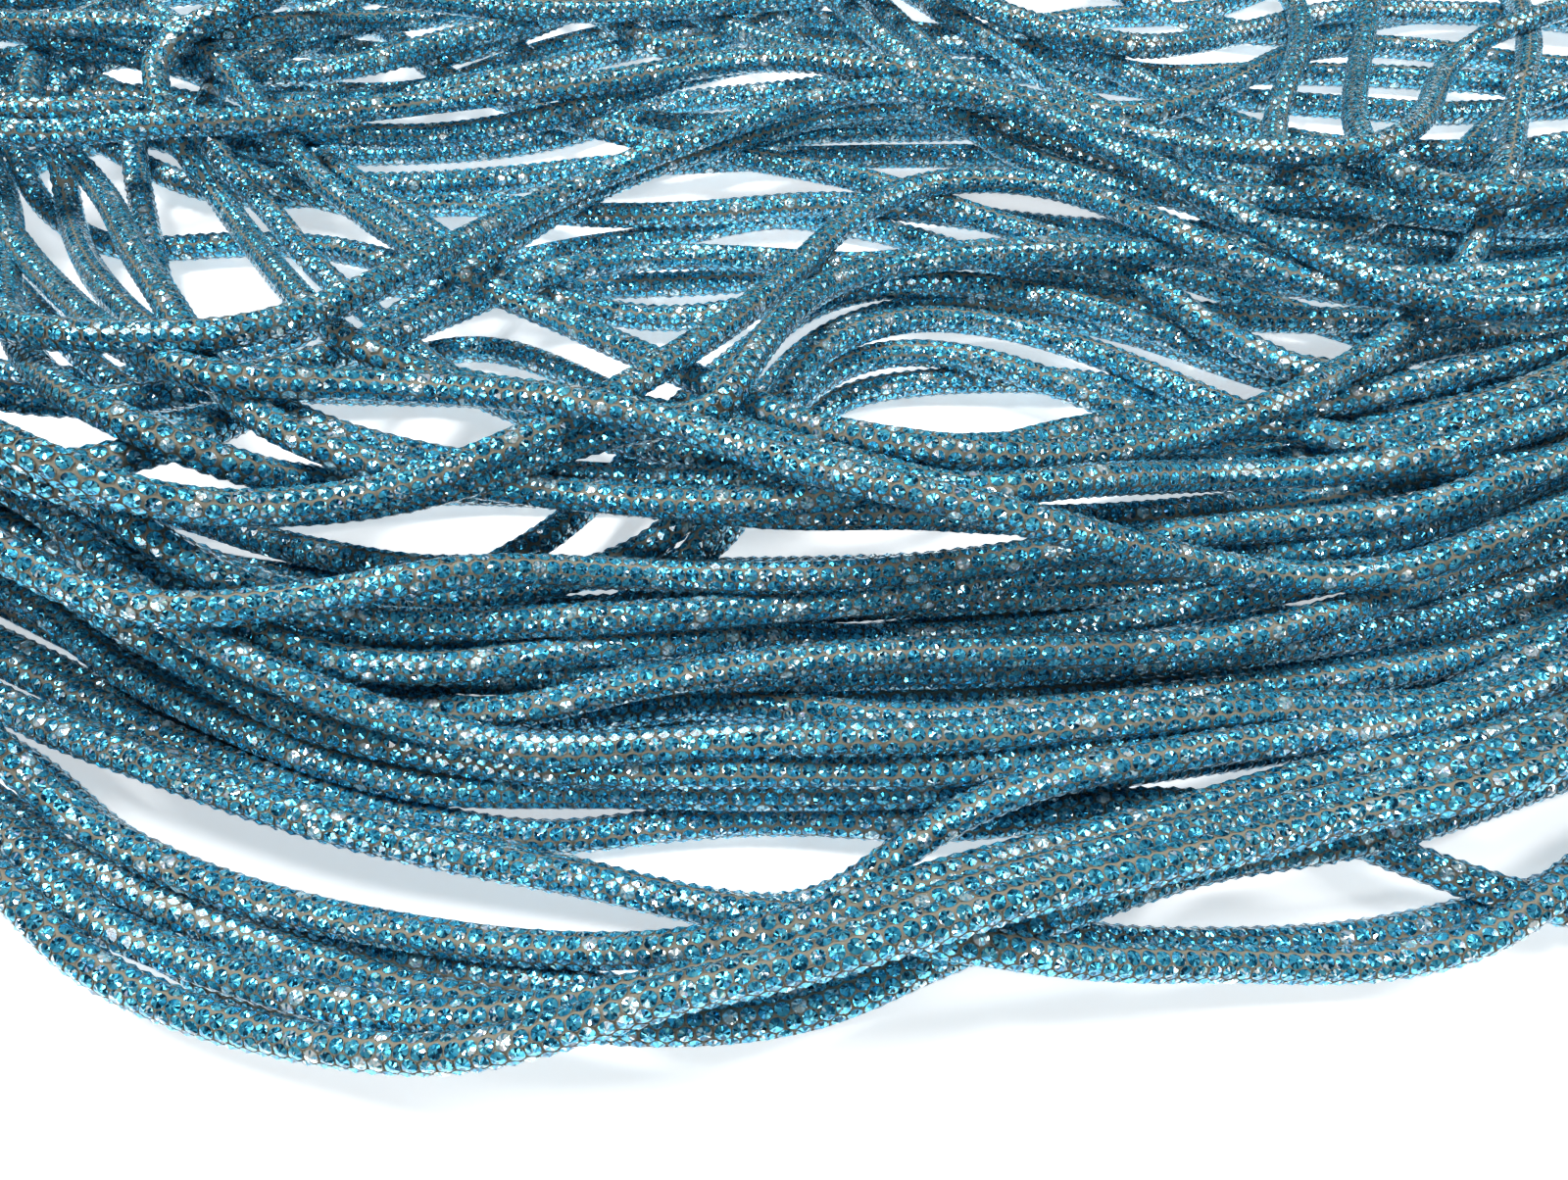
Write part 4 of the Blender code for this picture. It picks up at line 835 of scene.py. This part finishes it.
        # High on each thread and low between them; the low parts are painted in shade.
        thread = nodes.math("SUBTRACT", 1.0, cells.outputs["Distance"])
        height = nodes.math("ADD", nodes.math("MULTIPLY", thread, self.THREAD_SHARE),
                            nodes.math("MULTIPLY", fuzz.outputs["Fac"], 1 - self.THREAD_SHARE))
        for name, socket in (("Thread", thread), ("Soil", patches.outputs["Fac"]), ("Height", height)):
            group.links.new(socket, out.inputs[name])
        return group


def principled(name: str) -> tuple[bpy.types.Material, Nodes, bpy.types.Node]:
    """Make a material.

    Args:
        name: the material's name.

    Returns:
        The material, its node maker and its Principled shader.
    """
    material = bpy.data.materials.new(name)
    material.use_nodes = True
    return material, Nodes(material.node_tree), material.node_tree.nodes["Principled BSDF"]


class StoneShade(Enum):
    """The shades that the stones are sorted into."""

    AQUA = "aqua"
    TEAL = "teal"
    # Stones painted pale and near white as painted glints of whole stones.
    PALE_GLINT = "pale_glint"


@dataclass(frozen=True)
class StoneFinish:
    """Foil-backed cut stone of one shade.

    Attributes:
        shade: which shade it is.
        share: how many of the stones have it.
        dark_tone_and_painted_shade: painted shade of the darkest facets, and the darker tone that a stone
            may lean to.
        middle: the stone's main colour.
        light: painted light, the colour of the facets painted as lit.
        painted_glint: near-white colour of the painted glints, on facets painted as if they threw light
            straight back.
        painted_glint_share: how many of the facets get a painted glint.
        lean: how far the facets lean out of the stone's face.
        painted_glint_green: green tint of some painted glints.
        painted_glint_violet: violet tint of some others.
        tint_share: how far a stone may lean to its darker tone.
        roughness: of its foil.
        metallic: how much its foil mirrors.
        coat: how glassy the stone is.
        coat_roughness: of its glass.
        edge: colour of the painted shade round its rim.
        rim_shade_share: how dark the painted rim shade gets.
        setting: colour of the ground where it closes round the stone.
        setting_roughness: of that ground.
    """

    shade: StoneShade
    share: float
    # Facet colours that paint light, shade and glints into the base colour; the darkest is also a stone's
    # darker tone.
    dark_tone_and_painted_shade: Colour
    middle: Colour
    light: Colour
    painted_glint: Colour
    painted_glint_share: float = 0.14
    lean: float = 0.55
    painted_glint_green: Colour = (0.45, 0.95, 0.78)
    painted_glint_violet: Colour = (0.62, 0.66, 1.0)
    tint_share: float = 0.3
    roughness: float = 0.2
    metallic: float = 0.7
    coat: float = 0.4
    coat_roughness: float = 0.03
    # Painted shade round the stone's rim.
    edge: Colour = (0.015, 0.08, 0.13)
    rim_shade_share: float = 0.5
    setting: Colour = (0.165, 0.16, 0.125)
    setting_roughness: float = 0.7

    def material(self, effects: Effects) -> bpy.types.Material:
        """Make the stone's material.

        Args:
            effects: the shared node groups.

        Returns:
            The material.
        """
        material, nodes, shader = principled(f"stone_{self.shade.value}")
        cut = nodes.add("Group", node_tree=effects.cut)
        cut.inputs["Lean"].default_value = self.lean
        cut.inputs["Painted Glint Share"].default_value = self.painted_glint_share
        tree = material.node_tree
        # Painted light and shade: each facet is painted a dark, main or lit colour at random, in place of
        # its reflections.
        painted_facet_shading = nodes.ramp(cut.outputs["Light"], (0.12, self.dark_tone_and_painted_shade), (0.45, self.middle), (0.95, self.light))
        varied = nodes.mix(nodes.math("MULTIPLY", cut.outputs["Tint"], self.tint_share), painted_facet_shading, self.dark_tone_and_painted_shade)
        # Painted glints: the marked facets are painted near white, some tinted green or violet.
        painted_glint_tint = nodes.ramp(cut.outputs["Painted Glint Tint"], (0.0, self.painted_glint_green), (0.2, self.painted_glint), (0.8, self.painted_glint),
                          (1.0, self.painted_glint_violet))
        with_painted_glints = nodes.mix(cut.outputs["Painted Glint"], varied, painted_glint_tint)
        # Painted shade round the stone's rim.
        rim_shaded = nodes.mix(nodes.math("MULTIPLY", cut.outputs["Rim Shade"], self.rim_shade_share), with_painted_glints, self.edge)
        bare = nodes.math("SUBTRACT", 1.0, cut.outputs["Setting"])
        tree.links.new(nodes.mix(cut.outputs["Setting"], rim_shaded, self.setting), shader.inputs["Base Color"])
        tree.links.new(cut.outputs["Normal"], shader.inputs["Normal"])
        tree.links.new(nodes.math("MULTIPLY", bare, self.metallic), shader.inputs["Metallic"])
        tree.links.new(nodes.math("MULTIPLY", bare, self.coat), shader.inputs["Coat Weight"])
        rough = nodes.add("MapRange", {"Value": cut.outputs["Setting"], "To Min": self.roughness,
                                       "To Max": self.setting_roughness}).outputs["Result"]
        tree.links.new(rough, shader.inputs["Roughness"])
        shader.inputs["Coat Roughness"].default_value = self.coat_roughness
        return material


# Each shade gives its darkest colour (painted shade and a darker tone), its main colour, its painted lit
# colour and its painted glint colour.
STONE_FINISHES = (
    StoneFinish(StoneShade.AQUA, 0.6, (0.002, 0.055, 0.12), (0.032, 0.43, 0.74), (0.2, 0.8, 0.98),
                (0.88, 0.99, 1.0), painted_glint_share=0.08),
    StoneFinish(StoneShade.TEAL, 0.36, (0.001, 0.035, 0.08), (0.015, 0.3, 0.54), (0.13, 0.69, 0.95),
                (0.75, 0.95, 1.0), painted_glint_share=0.06),
    # Pale stones with many painted glints, painted near white in place of whole stones that flash.
    StoneFinish(StoneShade.PALE_GLINT, 0.04, (0.04, 0.22, 0.34), (0.32, 0.72, 0.9), (0.8, 1.0, 1.0),
                (0.96, 1.0, 1.0), painted_glint_share=0.35),
)


@dataclass(frozen=True)
class GroundFinish:
    """Grey-beige woven ground of the cord.

    Attributes:
        thread: colour of its threads.
        painted_thread_shade_and_soil: painted shade between the threads, and the colour that soiled patches
            darken to.
        seam: colour along the seam.
        soil: how far it darkens in patches.
        roughness: of the cloth.
        bump: how strongly the threads stand out.
        thread_height: how far they stand out.
    """

    thread: Colour = (0.185, 0.178, 0.138)
    # Painted shade between the threads, also the colour of the soiled patches.
    painted_thread_shade_and_soil: Colour = (0.1, 0.09, 0.066)
    seam: Colour = (0.21, 0.196, 0.15)
    soil: float = 0.3
    roughness: float = 0.75
    bump: float = 0.4
    thread_height: float = 0.1 * MM

    def material(self, effects: Effects) -> bpy.types.Material:
        """Make the ground's material.

        Args:
            effects: the shared node groups.

        Returns:
            The material.
        """
        material, nodes, shader = principled("woven_ground")
        weave = nodes.add("Group", node_tree=effects.weave)
        tree = material.node_tree
        # Painted shade: the ground is painted darker between the threads.
        cloth = nodes.mix(weave.outputs["Thread"], self.painted_thread_shade_and_soil, self.thread)
        seam = nodes.add("Attribute", attribute_name="seam").outputs["Fac"]
        seamed = nodes.mix(seam, cloth, self.seam)
        soiled = nodes.mix(nodes.math("MULTIPLY", weave.outputs["Soil"], self.soil), seamed, self.painted_thread_shade_and_soil)
        bump = nodes.add("Bump", {"Height": weave.outputs["Height"], "Strength": self.bump,
                                  "Distance": self.thread_height})
        tree.links.new(soiled, shader.inputs["Base Color"])
        tree.links.new(bump.outputs["Normal"], shader.inputs["Normal"])
        shader.inputs["Roughness"].default_value = self.roughness
        return material


def mesh_piece(name: str, vertices: np.ndarray, faces: list | np.ndarray,
               materials: list[bpy.types.Material], smooth: bool) -> bpy.types.Object:
    """Make a mesh object that rides on the heap.

    Args:
        name: the piece's name.
        vertices: its points in the row frame.
        faces: its faces as rows of point numbers.
        materials: its material slots.
        smooth: whether its faces are shaded smooth.

    Returns:
        The new object.
    """
    mesh = bpy.data.meshes.new(name)
    mesh.from_pydata(vertices, [], faces)
    mesh.validate()
    if smooth:
        mesh.shade_smooth()
    else:
        mesh.shade_flat()
    for material in materials:
        mesh.materials.append(material)
    piece = bpy.data.objects.new(name, mesh)
    bpy.context.scene.collection.objects.link(piece)
    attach(piece, "root")
    return piece


@dataclass
class Core:
    """The cord's round core, which shows between the stones.

    Attributes:
        line: the cord's middle line.
        radius: of the ground under the stones.
        sides: faces round the core.
        ring_step: distance between its rings.
    """

    line: CordLine
    radius: float = 2.66 * MM
    sides: int = 8
    ring_step: float = 5.0 * MM

    def build(self, finish: GroundFinish, effects: Effects, diameter: float) -> bpy.types.Object:
        """Args:
            finish: the ground's finish.
            effects: the shared node groups.
            diameter: of the whole cord, over its stones; not used.

        Returns:
            The core's object.
        """
        count = round(self.line.length / self.ring_step) + 1
        s = np.linspace(0.0, self.line.length, count)
        centres, ahead, side, up = self.line.at(s)
        turn = np.arange(self.sides) * TAU / self.sides
        angle = turn[None, :] + self.line.twist(s)[:, None]
        out = (np.cos(angle)[:, :, None] * side[:, None, :] + np.sin(angle)[:, :, None] * up[:, None, :])
        rings = centres[:, None, :] + self.radius * out
        vertices = rings.reshape(-1, 3)
        ring = np.arange(count - 1)[:, None] * self.sides
        here = np.arange(self.sides)[None, :]
        following = (here + 1) % self.sides
        faces = np.stack([ring + here, ring + following, ring + self.sides + following,
                          ring + self.sides + here], axis=2).reshape(-1, 4).tolist()
        faces.append(list(range(self.sides))[::-1])
        faces.append([(count - 1) * self.sides + k for k in range(self.sides)])
        core = mesh_piece("cord_core", vertices, faces, [finish.material(effects)], smooth=True)
        seam = core.data.attributes.new("seam", "FLOAT", "POINT")
        seam.data.foreach_set("value", np.tile((here[0] == 0).astype(np.float32), count))
        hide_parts("cord")
        log.info("core: %d rings, %.2f m of cord", count, self.line.length)
        return core


@dataclass
class StoneRows:
    """Rows of cut stones round the cord, each row half a pitch off its neighbours.

    Attributes:
        line: the cord's middle line.
        rows: how many rows go round the cord.
        pitch: distance between stones along a row.
        stone: radius of a stone's corners, which reach into the setting.
        corners: how many of them it has.
        rim_height: distance of the corners from the cord's middle.
        top_height: distance of the stone's point from there.
        seam_gap: angle by which the seam parts the rows beside it.
        shift: how far a stone strays from its place.
        lean: how far its point strays, as a share of the stone.
        spin: turn of its corners, so that its edges face its neighbours.
        spin_spread: how far that turn varies.
        size_spread: share by which the stones' sizes vary.
        stretches: pieces that the stones are joined in.
        seed: of the random draws.
    """

    line: CordLine
    rows: int = 8
    pitch: float = 2.5 * MM
    stone: float = 1.31 * MM
    corners: int = 6
    rim_height: float = 2.7 * MM
    top_height: float = 3.0 * MM
    seam_gap: float = radians(6.0)
    shift: float = 0.035 * MM
    lean: float = 0.06
    spin: float = radians(30.0)
    spin_spread: float = 0.05
    size_spread: float = 0.015
    stretches: int = 5
    seed: int = 11

    def cut_places(self) -> np.ndarray:
        """Where a stone's corners and its point lie over its face, in units of the corners' radius.

        Returns:
            One vector for each, flat in the stone's face.
        """
        turns = np.arange(self.corners) * TAU / self.corners
        return np.array([(cos(turn), sin(turn), 0.0) for turn in turns] + [(0.0, 0.0, 0.0)])

    def places(self, draws: np.random.Generator) -> tuple[np.ndarray, np.ndarray]:
        """Length along the cord and angle round it of every stone.

        Args:
            draws: source of random numbers.

        Returns:
            The lengths and the angles, ordered along the cord.
        """
        count = int(self.line.length / self.pitch)
        number, row = np.meshgrid(np.arange(count), np.arange(self.rows), indexing="ij")
        s = (number + 0.5 * (row % 2) + 0.25).ravel() * self.pitch
        spread = (TAU - self.seam_gap) / self.rows
        angle = self.seam_gap / 2 + (row.ravel() + 0.5) * spread + self.line.twist(s)
        s = s + draws.normal(0.0, self.shift, len(s))
        return s, angle + draws.normal(0.0, self.shift / self.top_height, len(s))

    def stone_points(self, s: np.ndarray, angle: np.ndarray, draws: np.random.Generator) -> np.ndarray:
        """Corners and points of stones.

        Args:
            s: their lengths along the cord.
            angle: their angles round it.
            draws: source of random numbers.

        Returns:
            An array of stones, each with its corners and then its point, and coordinates.
        """
        count = len(s)
        centre, ahead, side, up = (values[:, None] for values in self.line.at(s))
        size = self.stone * (1 + draws.normal(0.0, self.size_spread, (count, 1)))
        turn = draws.normal(self.spin, self.spin_spread, (count, 1))
        turn = turn + np.arange(self.corners) * TAU / self.corners
        bend = (angle[:, None] + size * np.sin(turn) / self.rim_height)[:, :, None]
        rim = (centre + (size * np.cos(turn))[:, :, None] * ahead
               + self.rim_height * (np.cos(bend) * side + np.sin(bend) * up))
        stray_ahead, stray_across = self.stone * draws.normal(0.0, self.lean, (2, count, 1, 1))
        angle = angle[:, None, None]
        point = (centre + stray_ahead * ahead + stray_across * (np.cos(angle) * up - np.sin(angle) * side)
                 + self.top_height * (np.cos(angle) * side + np.sin(angle) * up))
        return np.concatenate([rim, point], axis=1)

    def build(self, finishes: tuple[StoneFinish, ...], effects: Effects) -> list[bpy.types.Object]:
        """Make the stones, joined in a few stretches of the cord.

        Args:
            finishes: the shades that they are sorted into.
            effects: the shared node groups.

        Returns:
            The stretches' objects.
        """
        draws = np.random.default_rng(self.seed)
        materials = [finish.material(effects) for finish in finishes]
        shares = np.array([finish.share for finish in finishes])
        s, angle = self.places(draws)
        points = self.stone_points(s, angle, draws)
        shade = draws.choice(len(finishes), len(s), p=shares / shares.sum())
        stone_draw = draws.uniform(0.0, 1.0, len(s))
        edge = np.arange(self.corners)
        faces = np.column_stack([edge, np.full(self.corners, self.corners), (edge + 1) % self.corners])
        made = []
        for number, part in enumerate(np.array_split(np.arange(len(s)), self.stretches), 1):
            first = np.arange(len(part))[:, None, None] * points.shape[1]
            stretch = mesh_piece(f"stones_{number}", points[part].reshape(-1, 3),
                                 (first + faces[None]).reshape(-1, 3), materials, smooth=False)
            mesh = stretch.data
            mesh.polygons.foreach_set("material_index", np.repeat(shade[part], len(faces)).astype(np.int32))
            mesh.attributes.new("stone_draw", "FLOAT", "FACE").data.foreach_set(
                "value", np.repeat(stone_draw[part], len(faces)).astype(np.float32))
            mesh.attributes.new("cut_place", "FLOAT_VECTOR", "POINT").data.foreach_set(
                "vector", np.tile(self.cut_places(), (len(part), 1)).astype(np.float32).ravel())
            made.append(stretch)
            log.info("%s: %d stones, %d faces", stretch.name, len(part), len(mesh.polygons))
        return made


@dataclass(frozen=True)
class SoftLight:
    """One soft light of the studio.

    Attributes:
        name: of the light.
        place: where it hangs.
        size: its width and height.
        power: in watts.
    """

    name: str
    place: tuple[float, float, float]
    size: tuple[float, float]
    power: float

    def build(self) -> bpy.types.Object:
        """Make the light, turned to the heap's middle."""
        lamp = bpy.data.lights.new(self.name, "AREA")
        lamp.shape = "RECTANGLE"
        lamp.size, lamp.size_y = self.size
        lamp.energy = self.power
        light = bpy.data.objects.new(self.name, lamp)
        light.location = self.place
        light.rotation_mode = "QUATERNION"
        light.rotation_quaternion = (-light.location).to_track_quat("-Z", "Y")
        bpy.context.scene.collection.objects.link(light)
        return light


@dataclass
class Studio:
    """Pale floor, soft light and the photograph's camera.

    Attributes:
        view: the photograph's viewpoint.
        floor_half: half the floor's side.
        floor_level: its height, just under the cord.
        floor_colour: its plain white.
        floor_roughness: of its surface.
        floor_glow: its own light, which keeps the shadows pale.
        horizon: strength of the room's light low down.
        sky: its strength overhead.
        low: how high a direction points where the room starts to brighten.
        overhead: how high it points where the room is brightest.
        near_clip: distance at which the camera starts to see.
        lights: the soft lights.
    """

    view: Viewpoint = Viewpoint()
    floor_half: float = 4.0
    floor_level: float = -0.1 * MM
    floor_colour: Colour = (0.95, 0.95, 0.95)
    floor_roughness: float = 0.9
    floor_glow: float = 0.55
    horizon: float = 0.48
    sky: float = 2.3
    low: float = 0.38
    overhead: float = 0.95
    near_clip: float = 5.0 * MM
    lights: tuple[SoftLight, ...] = (
        SoftLight("window_light", (-0.45, 0.3, 1.45), (0.6, 0.45), 33.0),
        SoftLight("side_light", (1.1, 0.1, 0.9), (0.25, 0.5), 10.0),
        SoftLight("front_light", (-0.3, -1.1, 0.9), (0.3, 0.2), 6.0),
    )

    def build_floor(self) -> bpy.types.Object:
        """Make the plain pale floor."""
        bpy.ops.mesh.primitive_plane_add(size=2 * self.floor_half, location=(0.0, 0.0, self.floor_level))
        floor = bpy.context.object
        floor.name = "floor"
        material, _, shader = principled("plain_floor")
        shader.inputs["Base Color"].default_value = (*self.floor_colour, 1.0)
        shader.inputs["Roughness"].default_value = self.floor_roughness
        shader.inputs["Emission Color"].default_value = (*self.floor_colour, 1.0)
        shader.inputs["Emission Strength"].default_value = self.floor_glow
        floor.data.materials.append(material)
        return floor

    def build_sky(self) -> None:
        """Make the room's soft light, brighter overhead than at the horizon."""
        world = bpy.data.worlds.new("room_light")
        world.use_nodes = True
        nodes = Nodes(world.node_tree)
        up = nodes.add("SeparateXYZ", {"Vector": nodes.add("TexCoord").outputs["Generated"]}).outputs["Z"]
        level = nodes.add("MapRange", {"Value": up, "From Min": self.low, "From Max": self.overhead,
                                       "To Min": self.horizon, "To Max": self.sky}).outputs["Result"]
        background = world.node_tree.nodes["Background"]
        world.node_tree.links.new(level, background.inputs["Strength"])
        bpy.context.scene.world = world

    def build_camera(self) -> bpy.types.Object:
        """Make the camera at the photograph's place and angle."""
        data = bpy.data.cameras.new("camera")
        data.lens = self.view.lens
        data.sensor_width = self.view.sensor
        data.clip_start = self.near_clip
        camera = bpy.data.objects.new("camera", data)
        camera.location = self.view.place()
        camera.rotation_euler = (pi / 2 - self.view.look_down, 0.0, 0.0)
        bpy.context.scene.collection.objects.link(camera)
        bpy.context.scene.camera = camera
        return camera

    def build(self) -> None:
        """Make the camera, floor, room and lights."""
        self.build_camera()
        self.build_floor()
        self.build_sky()
        for light in self.lights:
            light.build()
        bpy.context.scene.view_settings.view_transform = "Standard"


def main() -> None:
    """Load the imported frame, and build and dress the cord."""
    logging.basicConfig(level=logging.INFO, format="%(message)s")
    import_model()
    Studio().build()
    effects = Effects()
    line = CordLine(CordLay(TURNS).middle_line())
    Core(line).build(GroundFinish(), effects, CORD_DIAMETER)
    StoneRows(line).build(STONE_FINISHES, effects)


if __name__ == "__main__":
    main()
